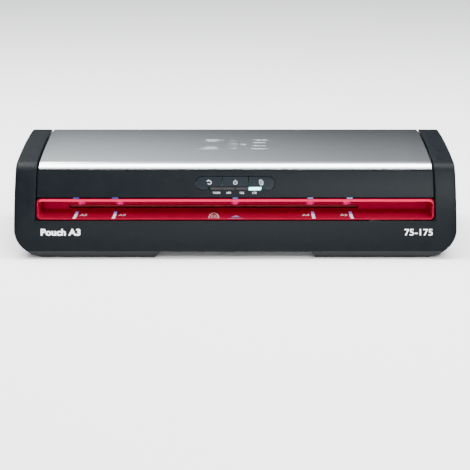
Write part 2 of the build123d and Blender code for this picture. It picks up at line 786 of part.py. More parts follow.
def frame_plate(outer_x, inner_x, outward, label):
    """Side plate with feet, top flange, bush holes and slots for the upper bearings."""
    foot_x = inner_x if outward < 0 else outer_x
    with BuildPart() as plate:
        with BuildSketch(Plane.YZ.offset(min(outer_x, inner_x))):
            with BuildLine():
                Polyline((plate_front_y, plate_low_z), (plate_back_y, plate_low_z),
                         (plate_back_y, plate_high_z), (plate_front_y, plate_high_z), close=True)
            make_face()
            for y in (hot_y, cold_y):
                with Locations((y, lower_z)):
                    Circle(bush_radius, mode=Mode.SUBTRACT)
                with Locations((y, (upper_z - bearing_half + plate_high_z - plate_thickness) / 2)):
                    Rectangle(2 * tongue_half + 0.4,
                              plate_high_z - plate_thickness - upper_z + bearing_half,
                              mode=Mode.SUBTRACT)
            with Locations(*bar_places):
                Circle(screw_hole, mode=Mode.SUBTRACT)
            if outward > 0:
                with Locations(*post_places):
                    Circle(screw_hole, mode=Mode.SUBTRACT)
                with Locations((idler_y, lower_z)):
                    Circle(idler_axle_radius, mode=Mode.SUBTRACT)
        extrude(amount=plate_thickness)
        add(block(sorted((outer_x + outward * 8.0, inner_x)), (plate_front_y, plate_back_y),
                  (plate_high_z - plate_thickness, plate_high_z)))
        for y in plate_feet_y:
            add(block(sorted((foot_x, foot_x + (12 if outward < 0 else 10))), (y - 7, y + 7),
                      (plate_low_z, plate_low_z + plate_thickness)))
    save(plate, label)


frame_plate(left_plate_x, left_plate_x + plate_thickness, -1, "left_frame_plate")
frame_plate(right_plate_x + plate_thickness, right_plate_x, 1, "right_frame_plate")

with BuildPart() as frame_tie_bars:
    for y, z in bar_places:
        add(x_cylinder(bar_radius, left_plate_x + plate_thickness, right_plate_x, y, z))
save(frame_tie_bars, "frame_tie_bars")

with BuildPart() as lower_bushes:
    for x in (left_plate_x, right_plate_x):
        for y in (hot_y, cold_y):
            add(x_cylinder(bush_radius, x, x + plate_thickness, y, lower_z, journal_radius + 0.05))
            flange_x = x + plate_thickness if x < 0 else x - 1.5
            add(x_cylinder(bush_radius + 2, flange_x, flange_x + 1.5, y, lower_z,
                           journal_radius + 0.05))
save(lower_bushes, "lower_bushes")

spring_low_z = upper_z + bearing_half
spring_high_z = plate_high_z - plate_thickness
spring_wire = 0.5
spring_radius = 2.8
spring_turns = 4.0


def carriage(y, label, spring_label):
    """Two upper bearing blocks, which slide in the plates, and their pressure springs."""
    spring_x = (left_plate_x - 1.6, right_plate_x + plate_thickness + 1.6)
    with BuildPart() as blocks:
        for x, side in ((left_plate_x, -1), (right_plate_x, 1)):
            low_x, high_x = x - 3.8, x + plate_thickness + 2.6
            if side < 0:
                low_x, high_x = x - 4.4, x + plate_thickness + 2.2
            add(block((low_x, high_x), (y - bearing_half - 2, y + bearing_half + 2),
                      (upper_z - bearing_half, upper_z + bearing_half)))
            for edge in (-1, 1):
                inside, outside = y + edge * tongue_half, y + edge * (bearing_half + 4)
                add(block((x - 0.3, x + plate_thickness + 0.3), sorted((inside, outside)),
                          (upper_z - bearing_half - 1, upper_z + bearing_half + 1)),
                    mode=Mode.SUBTRACT)
            add(x_cylinder(journal_radius + 0.05, low_x - 1, high_x + 1, y, upper_z),
                mode=Mode.SUBTRACT)
    save(blocks, label)
    with BuildPart() as springs:
        for x in spring_x:
            length = spring_high_z - spring_low_z - 2 * spring_wire
            with BuildLine() as coil:
                Helix(length / spring_turns, length, spring_radius,
                      center=(x, y, spring_low_z + spring_wire))
            with BuildSketch(Plane(origin=coil.line @ 0, z_dir=coil.line % 0)):
                Circle(spring_wire)
            sweep(path=coil.line, is_frenet=True)
    save(springs, spring_label)


carriage(hot_y, "hot_bearing_blocks", "hot_pressure_springs")
carriage(cold_y, "cold_bearing_blocks", "cold_pressure_springs")

# ---------------------------------------------------------------- rollers and gears
lower_hot_phase = 0.0
upper_hot_phase = meshing_phase(pi / 2, lower_hot_phase, roller_teeth, roller_teeth)
idler_phase = meshing_phase(0.0, lower_hot_phase, roller_teeth, idler_teeth)
lower_cold_phase = meshing_phase(0.0, idler_phase, idler_teeth, roller_teeth)
upper_cold_phase = meshing_phase(pi / 2, lower_cold_phase, roller_teeth, roller_teeth)
pinion_phase = meshing_phase(pi / 2, idler_phase, idler_teeth, pinion_teeth)

rollers = (
    ("lower_hot", hot_y, lower_z, lower_hot_phase),
    ("upper_hot", hot_y, upper_z, upper_hot_phase),
    ("lower_cold", cold_y, lower_z, lower_cold_phase),
    ("upper_cold", cold_y, upper_z, upper_cold_phase),
)
journal_left_x = left_plate_x - 5.5
journal_right_x = gear_x + gear_face + 1.5
for name, y, z, phase in rollers:
    with BuildPart() as core:
        add(x_cylinder(core_radius, sleeve_left_x, sleeve_right_x, y, z))
        add(x_cylinder(journal_radius, journal_left_x, journal_right_x, y, z))
    save(core, f"{name}_roller_core")
    with BuildPart() as sleeve:
        add(x_cylinder(sleeve_radius, sleeve_left_x, sleeve_right_x, y, z, core_radius))
    save(sleeve, f"{name}_roller_sleeve")
    with BuildPart() as gear:
        add(gear_blank(roller_teeth, phase, journal_radius, gear_x, y, z))
    save(gear, f"{name}_roller_gear")

with BuildPart() as idler_gear:
    add(gear_blank(idler_teeth, idler_phase, idler_axle_radius + 0.05, gear_x, idler_y, lower_z))
    with BuildSketch(Plane.YZ.offset(gear_x)):
        with Locations((idler_y, lower_z)):
            with PolarLocations(10.5, 6):
                Circle(2.6)
    extrude(amount=gear_face, mode=Mode.SUBTRACT)
save(idler_gear, "idler_gear")

with BuildPart() as idler_axle:
    add(x_cylinder(idler_axle_radius, right_plate_x, gear_x + gear_face + 3, idler_y, lower_z))
    add(x_cylinder(5.0, gear_x + gear_face + 0.5, gear_x + gear_face + 2.0, idler_y, lower_z))
    add(x_cylinder(5.0, right_plate_x + plate_thickness, gear_x - 0.5, idler_y, lower_z))
save(idler_axle, "idler_axle")

with BuildPart() as motor_pinion:
    add(gear_blank(pinion_teeth, pinion_phase, 3.0, gear_x, idler_y, pinion_z))
save(motor_pinion, "motor_pinion")

motor_radius = 29.0
motor_length = 30.0
motor_face_x = motor_plate_x + plate_thickness
motor_z = pinion_z + 10.0
with BuildPart() as motor_shaft:
    add(x_cylinder(3.0, gear_x - 1.0, motor_face_x + 10, idler_y, pinion_z))
save(motor_shaft, "motor_shaft")

with BuildPart() as drive_motor:
    add(x_cylinder(motor_radius, motor_face_x, motor_face_x + motor_length, idler_y, motor_z))
    rim = edges().filter_by(GeomType.CIRCLE).sort_by(Axis.X)[-1]
    fillet(rim, radius=2.0)
    add(x_cylinder(3.4, motor_face_x - 1, motor_face_x + 12, idler_y, pinion_z),
        mode=Mode.SUBTRACT)
    add(block((motor_face_x + 10, motor_face_x + 22), (idler_y - 7, idler_y + 7),
              (motor_z - motor_radius - 5, motor_z - motor_radius + 3)))
save(drive_motor, "drive_motor")

with BuildPart() as motor_bracket:
    with BuildSketch(Plane.YZ.offset(motor_plate_x)):
        with BuildLine():
            Polyline(
                (post_places[0][0] - 6, post_places[0][1] + 5),
                (post_places[0][0] - 6, post_places[0][1] - 6),
                (post_places[2][0] - 7, post_places[2][1] - 6),
                (post_places[2][0] + 14, post_places[2][1] - 6),
                (post_places[1][0] + 5, post_places[1][1] - 6),
                (post_places[1][0] + 5, post_places[1][1] + 5),
                close=True,
            )
        make_face()
        with Locations(*post_places):
            Circle(screw_hole, mode=Mode.SUBTRACT)
        with Locations((idler_y, pinion_z)):
            Circle(6.0, mode=Mode.SUBTRACT)
    extrude(amount=plate_thickness)
save(motor_bracket, "motor_bracket")

with BuildPart() as bracket_posts:
    for y, z in post_places:
        add(x_cylinder(3.6, right_plate_x + plate_thickness, motor_plate_x, y, z))
save(bracket_posts, "bracket_posts")

with BuildPart() as frame_screws:
    for y, z in bar_places:
        add(x_cylinder(3.2, left_plate_x - 2.0, left_plate_x, y, z))
        outer_face_x = right_plate_x + plate_thickness
        add(x_cylinder(3.2, outer_face_x, outer_face_x + 2.0, y, z))
    for y, z in post_places:
        outer_face_x = motor_plate_x + plate_thickness
        add(x_cylinder(3.2, outer_face_x, outer_face_x + 2.0, y, z))
save(frame_screws, "frame_screws")

# ---------------------------------------------------------------- heaters
heater_front_y = hot_y + sleeve_radius + 6
heater_back_y = cold_y - sleeve_radius - 6
heater_left_x = left_plate_x + plate_thickness
for name, low_z, fold in (("lower", nip_z - 6, -1), ("upper", nip_z + 2, 1)):
    with BuildPart() as heater_plate:
        add(block((heater_left_x, right_plate_x), (heater_front_y, heater_back_y),
                  (low_z, low_z + 4)))
        front_edge = edges().filter_by(Axis.X).group_by(Axis.Y)[0]
        fillet(front_edge.sort_by(Axis.Z)[0 if fold > 0 else -1], radius=2.5)
    save(heater_plate, f"{name}_heater_plate")

with BuildPart() as heater_elements:
    for low_z in (nip_z - 9, nip_z + 6):
        add(block((slot_left_x + 4, slot_right_x - 4), (idler_y - 7, idler_y + 7), (low_z, low_z + 3)))
save(heater_elements, "heater_elements")

with BuildPart() as thermal_cutout:
    with BuildSketch(Plane.XY.offset(nip_z + 9)):
        with Locations((40, idler_y)):
            Circle(6.5)
    extrude(amount=4)
    add(block((30, 50), (idler_y - 2, idler_y + 2), (nip_z + 10, nip_z + 11)))
save(thermal_cutout, "thermal_cutout")

with BuildPart() as thermistor:
    add(block((-70, -58), (idler_y - 3, idler_y + 3), (nip_z + 9, nip_z + 11.5)))
save(thermistor, "thermistor")

with BuildPart() as heat_shield:
    add(block((left_plate_x - 6, right_plate_x + 7), (plate_front_y + 2, plate_back_y - 2),
              (plate_high_z, plate_high_z + 0.8)))
    with BuildSketch(Plane.XY.offset(plate_high_z)):
        with Locations((slot_mid_x, idler_y)):
            with GridLocations(14, 50, 20, 2):
                SlotOverall(24, 3, rotation=90)
    extrude(amount=2, mode=Mode.SUBTRACT)
save(heat_shield, "heat_shield")

# ---------------------------------------------------------------- electronics
board_left_x, board_right_x = motor_plate_x + 2, inner_half - 2
with BuildPart() as main_board:
    add(block((board_left_x, board_right_x), (-39, 59), (12.0, 13.6)))
save(main_board, "main_board")

with BuildPart() as transformer:
    add(block((board_left_x + 4, board_left_x + 30), (-26, -2), (13.6, 33)))
    add(block((board_left_x + 1, board_left_x + 33), (-22, -6), (15, 31)))
save(transformer, "transformer")

with BuildPart() as board_components:
    for x, y, radius, tall in ((40, -20, 4, 14), (40, -8, 4, 14), (10, 44, 3, 9), (20, 44, 3, 9)):
        with BuildSketch(Plane.XY.offset(13.6)):
            with Locations((board_left_x + x, y)):
                Circle(radius)
        extrude(amount=tall)
    add(block((board_left_x + 8, board_left_x + 27), (10, 25), (13.6, 24)))
    add(block((board_left_x + 34, board_left_x + 42), (8, 30), (13.6, 16)))
save(board_components, "board_components")
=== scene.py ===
"""Visual model of the pouch laminator: surfaces, finishes, studio light and camera."""
import json
import logging
from dataclasses import dataclass, field
from enum import Enum
from math import atan2, ceil, cos, hypot, pi, radians, sin, sqrt
from typing import Callable, Iterable, Sequence

import bmesh
import bpy
import numpy as np
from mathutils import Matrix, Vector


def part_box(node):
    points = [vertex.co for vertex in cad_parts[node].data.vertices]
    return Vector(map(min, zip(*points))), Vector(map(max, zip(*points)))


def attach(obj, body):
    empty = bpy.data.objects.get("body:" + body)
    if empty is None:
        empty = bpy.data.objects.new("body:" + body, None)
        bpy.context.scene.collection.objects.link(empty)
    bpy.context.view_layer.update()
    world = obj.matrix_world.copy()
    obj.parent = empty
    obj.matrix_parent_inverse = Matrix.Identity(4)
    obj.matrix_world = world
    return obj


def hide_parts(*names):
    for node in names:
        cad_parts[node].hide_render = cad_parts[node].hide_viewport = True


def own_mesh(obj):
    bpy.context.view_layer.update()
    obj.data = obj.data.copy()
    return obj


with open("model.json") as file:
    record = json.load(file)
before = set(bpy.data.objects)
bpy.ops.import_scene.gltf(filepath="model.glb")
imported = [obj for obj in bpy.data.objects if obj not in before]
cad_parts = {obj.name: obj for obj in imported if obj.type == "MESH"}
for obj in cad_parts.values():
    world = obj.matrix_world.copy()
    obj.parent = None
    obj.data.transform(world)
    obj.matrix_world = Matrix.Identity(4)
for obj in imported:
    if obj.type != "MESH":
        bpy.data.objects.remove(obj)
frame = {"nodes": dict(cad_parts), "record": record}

MM = 0.001
log = logging.getLogger("laminator")
Array = np.ndarray
Pair = tuple[float, float]
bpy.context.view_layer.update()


def box_mm(node: str) -> tuple[Array, Array]:
    """Lowest and highest corner of a frame node, in millimetres."""
    low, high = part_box(node)
    return np.array(low) / MM, np.array(high) / MM


# ------------------------------------------------------------------ outline
def circle_through(first: Pair, second: Pair, third: Pair) -> tuple[Pair, float]:
    """Circle through three points.

    Args:
        first, second, third: points in one plane.

    Returns:
        The centre and the radius.
    """
    (x1, y1), (x2, y2), (x3, y3) = first, second, third
    turn = 2 * (x1 * (y2 - y3) + x2 * (y3 - y1) + x3 * (y1 - y2))
    s1, s2, s3 = x1 * x1 + y1 * y1, x2 * x2 + y2 * y2, x3 * x3 + y3 * y3
    x = (s1 * (y2 - y3) + s2 * (y3 - y1) + s3 * (y1 - y2)) / turn
    y = (s1 * (x3 - x2) + s2 * (x1 - x3) + s3 * (x2 - x1)) / turn
    return (x, y), hypot(x1 - x, y1 - y)


def circles_meet(first: Pair, first_radius: float, second: Pair, second_radius: float,
                 near: Pair) -> Pair:
    """Crossing of two circles that is nearer to a given point.

    Args:
        first, second: centres.
        first_radius, second_radius: radii.
        near: the point that picks one crossing.

    Returns:
        The crossing.
    """
    dy, dz = second[0] - first[0], second[1] - first[1]
    gap = hypot(dy, dz)
    along = (first_radius**2 - second_radius**2 + gap**2) / (2 * gap)
    across = sqrt(max(0.0, first_radius**2 - along**2))
    points = [
        (first[0] + (along * dy - side * across * dz) / gap,
         first[1] + (along * dz + side * across * dy) / gap)
        for side in (-1, 1)
    ]
    return min(points, key=lambda point: hypot(point[0] - near[0], point[1] - near[1]))


@dataclass
class SideOutline:
    """Side view of the machine: bowed front, shoulder, top, rear edge and bowed rear.

    It is a chain of circular arcs, walked from the front foot over the top to the rear
    foot; positions on it are given by the length walked.
    """

    half_width: float = 245.0
    half_depth: float = 90.0
    height: float = 109.0
    seam: float = 9.0
    front_lean: float = 37.1
    corner_drop: float = 9.9
    front_radius: float = 200.0
    shoulder_radius: float = 20.0
    rear_round: float = 5.0
    flank_start_z: float = 30.0
    arcs: list[tuple[Pair, float, float, float]] = field(default_factory=list)
    ends: Array = field(default_factory=lambda: np.zeros(0))

    def __post_init__(self) -> None:
        """Works out the arcs from the driving sizes."""
        foot = (-self.half_depth, self.seam)
        corner = (-self.half_depth + self.front_lean, self.height - self.corner_drop)
        rear_top = (self.half_depth - 5, self.height - 0.4)
        chord = hypot(corner[0] - foot[0], corner[1] - foot[1])
        away = sqrt(self.front_radius**2 - (chord / 2) ** 2)
        self.front_centre = (
            (foot[0] + corner[0]) / 2 + away * (corner[1] - foot[1]) / chord,
            (foot[1] + corner[1]) / 2 - away * (corner[0] - foot[0]) / chord,
        )
        top_centre, top_radius = circle_through(corner, (13, self.height - 2.1), rear_top)
        self.rear_centre, self.rear_radius = circle_through(
            rear_top, (self.half_depth - 0.1, self.height / 2), (self.half_depth - 5, -15.0)
        )
        shoulder = circles_meet(
            self.front_centre, self.front_radius - self.shoulder_radius,
            top_centre, top_radius - self.shoulder_radius, corner)
        rear_corner = circles_meet(
            top_centre, top_radius - self.rear_round,
            self.rear_centre, self.rear_radius - self.rear_round, rear_top)

        def bearing(centre: Pair, point: Pair) -> float:
            """Angle of a point seen from a centre."""
            return atan2(point[1] - centre[1], point[0] - centre[0])

        def wrap(angle: float) -> float:
            """Angle between -90 and 270 degrees, so that the walk goes down steadily."""
            return angle if angle > -pi / 2 else angle + 2 * pi

        rear_foot = (self.rear_centre[0] + sqrt(
            self.rear_radius**2 - (self.seam - self.rear_centre[1]) ** 2), self.seam)
        joins = [
            (self.front_centre, self.front_radius, wrap(bearing(self.front_centre, foot)),
             wrap(bearing(self.front_centre, shoulder))),
            (shoulder, self.shoulder_radius, wrap(bearing(self.front_centre, shoulder)),
             wrap(bearing(top_centre, shoulder))),
            (top_centre, top_radius, wrap(bearing(top_centre, shoulder)),
             wrap(bearing(top_centre, rear_corner))),
            (rear_corner, self.rear_round, wrap(bearing(top_centre, rear_corner)),
             bearing(self.rear_centre, rear_corner)),
            (self.rear_centre, self.rear_radius, bearing(self.rear_centre, rear_corner),
             bearing(self.rear_centre, rear_foot)),
        ]
        self.arcs = joins
        self.ends = np.cumsum([abs(start - end) * radius for _, radius, start, end in joins])
        self.flank_centre, self.flank_radius = circle_through(
            (self.half_width, 30), (self.half_width - 5, 17.2), (self.half_width - 13.5, self.seam))

    def walk(self, lengths: Array) -> tuple[Array, Array]:
        """Points and outward normals at the given lengths along the outline.

        Each length falls on one arc; the point is centre + radius * (cos a, sin a), with a
        going from the arc's start angle to its end angle in proportion to the length.

        Args:
            lengths: lengths walked from the front foot, any shape.

        Returns:
            (Y, Z) points and (Y, Z) normals, with one more axis of size 2.
        """
        lengths = np.asarray(lengths, dtype=float)
        starts = np.concatenate([[0.0], self.ends[:-1]])
        which = np.clip(np.searchsorted(self.ends, lengths, side="left"), 0, len(self.arcs) - 1)
        centres = np.array([arc[0] for arc in self.arcs])[which]
        radii = np.array([arc[1] for arc in self.arcs])[which]
        first = np.array([arc[2] for arc in self.arcs])[which]
        last = np.array([arc[3] for arc in self.arcs])[which]
        share = (lengths - starts[which]) / (self.ends - starts)[which]
        angle = first + (last - first) * share
        normals = np.stack([np.cos(angle), np.sin(angle)], axis=-1)
        return centres + radii[..., None] * normals, normals

    @property
    def total(self) -> float:
        """Length of the whole outline."""
        return float(self.ends[-1])

    def length_at(self, z: float, rear: bool = False) -> float:
        """Length walked to the front (or rear) point at a height."""
        lengths = np.linspace(0, self.total, 6001)
        heights = self.walk(lengths)[0][:, 1]
        peak = int(np.argmax(heights))
        if rear:
            return float(np.interp(-z, -heights[peak:], lengths[peak:]))
        return float(np.interp(z, heights[:peak], lengths[:peak]))

    def flank_x(self, z: Array) -> Array:
        """Half width at a height: straight sides, with a convex arc towards the seam."""
        drop = np.minimum(np.asarray(z, dtype=float), self.flank_start_z) - self.flank_centre[1]
        arc = self.flank_centre[0] + np.sqrt(self.flank_radius**2 - drop**2)
        return np.where(np.asarray(z) >= self.flank_start_z, self.half_width, arc)

    def front_y(self, z: Array) -> Array:
        """Y of the front surface at a height."""
        rise = np.asarray(z, dtype=float) - self.front_centre[1]
        return self.front_centre[0] - np.sqrt(self.front_radius**2 - rise**2)

    def place(self, x: Array, length: Array, depth: Array) -> Array:
        """Points at x, a length along the outline and a depth under the surface."""
        points, normals = self.walk(length)
        inner = points - normals * np.asarray(depth, dtype=float)[..., None]
        return np.stack([np.broadcast_to(x, inner.shape[:-1]), inner[..., 0], inner[..., 1]], axis=-1)


OUTLINE = SideOutline()


# ------------------------------------------------------------------ meshes
def grid_faces(rows: int, columns: int, start: int = 0, closed: bool = False) -> Array:
    """Quads of a grid whose vertices are numbered row by row.

    Args:
        rows, columns: vertices each way.
        start: number of the first vertex.
        closed: joins the last column to the first.

    Returns:
        Vertex numbers, four for each quad.
    """
    steps = columns if closed else columns - 1
    row, column = np.meshgrid(np.arange(rows - 1), np.arange(steps), indexing="ij")
    after = (column + 1) % columns
    corners = [row * columns + column, row * columns + after,
               (row + 1) * columns + after, (row + 1) * columns + column]
    return start + np.stack(corners, axis=-1).reshape(-1, 4)


@dataclass
class Shape:
    """Vertices in millimetres and faces of a piece that is being put together."""

    verts: list[Array] = field(default_factory=list)
    faces: list[list[int]] = field(default_factory=list)
    count: int = 0

    def add(self, verts: Array, faces: Iterable[Sequence[int]], flip: bool = False) -> "Shape":
        """Adds vertices and their faces.

        Args:
            verts: an array whose last axis holds x, y, z.
            faces: vertex numbers counted from this call's first vertex.
            flip: turns the faces over.

        Returns:
            The shape itself.
        """
        flat = np.asarray(verts, dtype=float).reshape(-1, 3)
        self.verts.append(flat)
        for face in np.asarray(faces).tolist() if isinstance(faces, np.ndarray) else faces:
            numbers = [self.count + number for number in face]
            self.faces.append(numbers[::-1] if flip else numbers)
        self.count += len(flat)
        return self

    def grid(self, points: Array, flip: bool = False, closed: bool = False) -> "Shape":
        """Adds a grid of points, shaped rows by columns by 3."""
        return self.add(points, grid_faces(points.shape[0], points.shape[1], closed=closed), flip)

    def mesh(self, name: str, merge: float = 0.002) -> bpy.types.Mesh:
        """Mesh of the shape, in metres, with doubles merged."""
        mesh = bpy.data.meshes.new(name)
        mesh.from_pydata((np.concatenate(self.verts) * MM).tolist(), [], self.faces)
        work = bmesh.new()
        work.from_mesh(mesh)
        bmesh.ops.remove_doubles(work, verts=work.verts, dist=merge * MM)
        bmesh.ops.dissolve_degenerate(work, edges=work.edges, dist=1e-7)
        work.to_mesh(mesh)
        work.free()
        return mesh


@dataclass(frozen=True)
class Hole:
    """Rounded opening in a sheet, inside a block of the sheet's cells."""

    centre: Pair
    size: Pair
    corner: float
    block: tuple[float, float, float, float]


def lines(*stops: float, step: float = 10.0) -> Array:
    """Rising values that hold every stop, with the spaces between them divided by a step."""
    stops = sorted(set(round(float(stop), 5) for stop in stops))
    parts = [np.linspace(low, high, max(1, round((high - low) / step)) + 1)[:-1]
             for low, high in zip(stops[:-1], stops[1:])]
    return np.concatenate(parts + [np.array([stops[-1]])])


def holed_sheet(us: Array, vs: Array, holes: Sequence[Hole] = ()) -> tuple[Array, list[list[int]]]:
    """Flat sheet of quads with rounded openings.

    The cells inside each hole's block are left out. The block's border is then scaled onto
    the opening's rectangle and drawn in round its corners: a point p there becomes
    c + r (p - c) / |p - c|, where c is the nearest point of the rectangle shrunk by the
    corner radius r. A ring of quads joins border and opening.

    Args:
        us, vs: the sheet's lines; each block's sides are among them.
        holes: the openings.

    Returns:
        Points (u, v) and faces.
    """
    grid = np.stack(np.meshgrid(us, vs, indexing="ij"), axis=-1)
    number = np.arange(len(us) * len(vs)).reshape(len(us), len(vs))
    keep = np.ones((len(us) - 1, len(vs) - 1), dtype=bool)
    points = [grid.reshape(-1, 2)]
    faces: list[list[int]] = []
    total = grid.shape[0] * grid.shape[1]
    for hole in holes:
        i0, i1 = (int(np.argmin(abs(us - side))) for side in hole.block[:2])
        j0, j1 = (int(np.argmin(abs(vs - side))) for side in hole.block[2:])
        keep[i0:i1, j0:j1] = False
        border = np.concatenate([number[i0:i1, j0], number[i1, j0:j1],
                                 number[i1:i0:-1, j1], number[i0, j1:j0:-1]])
        ring = points[0][border]
        centre = np.array([(hole.block[0] + hole.block[1]) / 2, (hole.block[2] + hole.block[3]) / 2])
        half_block = np.array([hole.block[1] - hole.block[0], hole.block[3] - hole.block[2]]) / 2
        half = np.array(hole.size) / 2
        square = (ring - centre) / half_block * half
        limit = np.maximum(half - hole.corner, 1e-4)
        nearest = np.clip(square, -limit, limit)
        out = square - nearest
        size = np.linalg.norm(out, axis=1, keepdims=True)
        rounded = np.where(size > 1e-6, nearest + out / np.maximum(size, 1e-6) * hole.corner, square)
        on_side = (abs(out) > 1e-6).sum(axis=1) < 2
        rounded[on_side] = square[on_side]
        count = len(border)
        points.append(rounded + np.array(hole.centre))
        inner = total + np.arange(count)
        for a in range(count):
            b = (a + 1) % count
            faces.append([int(border[a]), int(border[b]), int(inner[b]), int(inner[a])])
        total += count
    quads = grid_faces(len(us), len(vs)).reshape(len(us) - 1, len(vs) - 1, 4)[keep]
    faces += [quad[::-1] for quad in quads.tolist()]
    return np.concatenate(points), faces


class Shading(Enum):
    """How a piece's faces meet in light."""

    SMOOTH = radians(38)
    CRISP = radians(22)


@dataclass(frozen=True)
class Trim:
    """Wall and rounded rims that modifiers give to a sheet."""

    wall: float = 0.0
    even: bool = True
    rim: float = 0.0
    segments: int = 3
    angle: float = radians(35)


def make_piece(name: str, mesh: bpy.types.Mesh, finish: bpy.types.Material, body: str,
               trim: Trim = Trim(), stands_for: Sequence[str] = (),
               shading: Shading = Shading.SMOOTH) -> bpy.types.Object:
    """Object for a finished piece: rides on its body, with its finish and modifiers.

    Args:
        name: the piece's name.
        mesh: its mesh, in place.
        finish: its material.
        body: the body that it moves with.
        trim: wall thickness and rim rounding, in millimetres.
        stands_for: frame nodes that it replaces.
        shading: the angle past which an edge stays sharp.

    Returns:
        The object.
    """
    piece = bpy.data.objects.new(name, mesh)
    bpy.context.scene.collection.objects.link(piece)
    mesh.materials.clear()
    mesh.materials.append(finish)
    mesh.shade_smooth()
    mesh.set_sharp_from_angle(angle=shading.value)
    if trim.wall:
        wall = piece.modifiers.new("wall", "SOLIDIFY")
        wall.thickness = trim.wall * MM
        wall.offset = -1.0
        wall.use_even_offset = trim.even
    if trim.rim:
        rim = piece.modifiers.new("rim", "BEVEL")
        rim.width = trim.rim * MM
        rim.segments = trim.segments
        rim.limit_method = "ANGLE"
        rim.angle_limit = trim.angle
        rim.harden_normals = True
        rim.use_clamp_overlap = True
    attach(piece, body)
    if stands_for:
        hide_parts(*stands_for)
    log.info("%s: %d faces on %s", name, len(mesh.polygons), body)
    return piece


def merged_copy(node: str, flat: float = 1.0) -> bpy.types.Mesh:
    """Copy of a frame node's mesh with its loose triangles joined into whole faces.

    Args:
        node: the frame node.
        flat: faces that meet at less than this many degrees become one.

    Returns:
        The new mesh.
    """
    mesh = frame["nodes"][node].data.copy()
    work = bmesh.new()
    work.from_mesh(mesh)
    bmesh.ops.remove_doubles(work, verts=work.verts, dist=2e-6)
    bmesh.ops.dissolve_limit(work, angle_limit=radians(flat), verts=work.verts, edges=work.edges)
    work.to_mesh(mesh)
    work.free()
    return mesh


# ------------------------------------------------------------------ finishes
Colour = tuple[float, float, float]


def rgba(colour: Colour) -> tuple[float, float, float, float]:
    """Colour with full alpha."""
    return (*colour, 1.0)


class Graph:
    """Small helper that adds and joins shader nodes."""

    def __init__(self, tree: bpy.types.NodeTree) -> None:
        """Keeps the tree that the nodes go into."""
        self.tree = tree

    def add(self, kind: str, values: dict | None = None, **settings: object) -> bpy.types.Node:
        """Adds a node.

        Args:
            kind: the node's type.
            values: input values, or sockets to join, by input name or number.
            settings: properties of the node.

        Returns:
            The node.
        """
        node = self.tree.nodes.new(kind)
        for key, value in settings.items():
            setattr(node, key, value)
        for key, value in (values or {}).items():
            if isinstance(value, bpy.types.NodeSocket):
                self.tree.links.new(value, node.inputs[key])
            else:
                node.inputs[key].default_value = value
        return node


def grain_group() -> bpy.types.NodeTree:
    """Fine spark-eroded texture: noise in two sizes, as a height and a mask.

    Returns:
        The group, with inputs Vector, Scale, Coarseness and outputs Height, Mask.
    """
    name = "moulded grain"
    if name in bpy.data.node_groups:
        return bpy.data.node_groups[name]
    tree = bpy.data.node_groups.new(name, "ShaderNodeTree")
    tree.interface.new_socket("Vector", in_out="INPUT", socket_type="NodeSocketVector")
    scale = tree.interface.new_socket("Scale", in_out="INPUT", socket_type="NodeSocketFloat")
    scale.default_value = 900.0
    coarse = tree.interface.new_socket("Coarseness", in_out="INPUT", socket_type="NodeSocketFloat")
    coarse.default_value = 0.3
    tree.interface.new_socket("Height", in_out="OUTPUT", socket_type="NodeSocketFloat")
    tree.interface.new_socket("Mask", in_out="OUTPUT", socket_type="NodeSocketFloat")
    graph = Graph(tree)
    source = graph.add("NodeGroupInput")
    fine = graph.add("ShaderNodeTexNoise", {"Vector": source.outputs["Vector"],
                                            "Scale": source.outputs["Scale"], "Detail": 2.0})
    wide_scale = graph.add("ShaderNodeMath", {0: source.outputs["Scale"], 1: 0.09},
                           operation="MULTIPLY")
    wide = graph.add("ShaderNodeTexNoise", {"Vector": source.outputs["Vector"],
                                            "Scale": wide_scale.outputs[0], "Detail": 3.0})
    blend = graph.add("ShaderNodeMix", {"Factor": source.outputs["Coarseness"],
                                        "A": fine.outputs["Fac"], "B": wide.outputs["Fac"]})
    mask = graph.add("ShaderNodeMapRange", {"Value": wide.outputs["Fac"], "From Min": 0.35,
                                            "From Max": 0.7})
    target = graph.add("NodeGroupOutput")
    tree.links.new(blend.outputs["Result"], target.inputs["Height"])
    tree.links.new(mask.outputs["Result"], target.inputs["Mask"])
    return tree


def dust_group() -> bpy.types.NodeTree:
    """Thin settled dust: a mask on faces that look up, broken by noise.

    Returns:
        The group, with inputs Vector, Amount and output Mask.
    """
    name = "settled dust"
    if name in bpy.data.node_groups:
        return bpy.data.node_groups[name]
    tree = bpy.data.node_groups.new(name, "ShaderNodeTree")
    tree.interface.new_socket("Vector", in_out="INPUT", socket_type="NodeSocketVector")
    amount = tree.interface.new_socket("Amount", in_out="INPUT", socket_type="NodeSocketFloat")
    amount.default_value = 0.1
    tree.interface.new_socket("Mask", in_out="OUTPUT", socket_type="NodeSocketFloat")
    graph = Graph(tree)
    source = graph.add("NodeGroupInput")
    surface = graph.add("ShaderNodeNewGeometry")
    parts = graph.add("ShaderNodeSeparateXYZ", {0: surface.outputs["Normal"]})
    upward = graph.add("ShaderNodeMapRange", {"Value": parts.outputs["Z"], "From Min": 0.4,
                                              "From Max": 1.0})
    specks = graph.add("ShaderNodeTexNoise", {"Vector": source.outputs["Vector"], "Scale": 260.0,
                                              "Detail": 6.0})
    spread = graph.add("ShaderNodeMapRange", {"Value": specks.outputs["Fac"], "From Min": 0.45,
                                              "From Max": 0.75})
    both = graph.add("ShaderNodeMath", {0: upward.outputs["Result"], 1: spread.outputs["Result"]},
                     operation="MULTIPLY")
    scaled = graph.add("ShaderNodeMath", {0: both.outputs[0], 1: source.outputs["Amount"]},
                       operation="MULTIPLY")
    target = graph.add("NodeGroupOutput")
    tree.links.new(scaled.outputs[0], target.inputs["Mask"])
    return tree


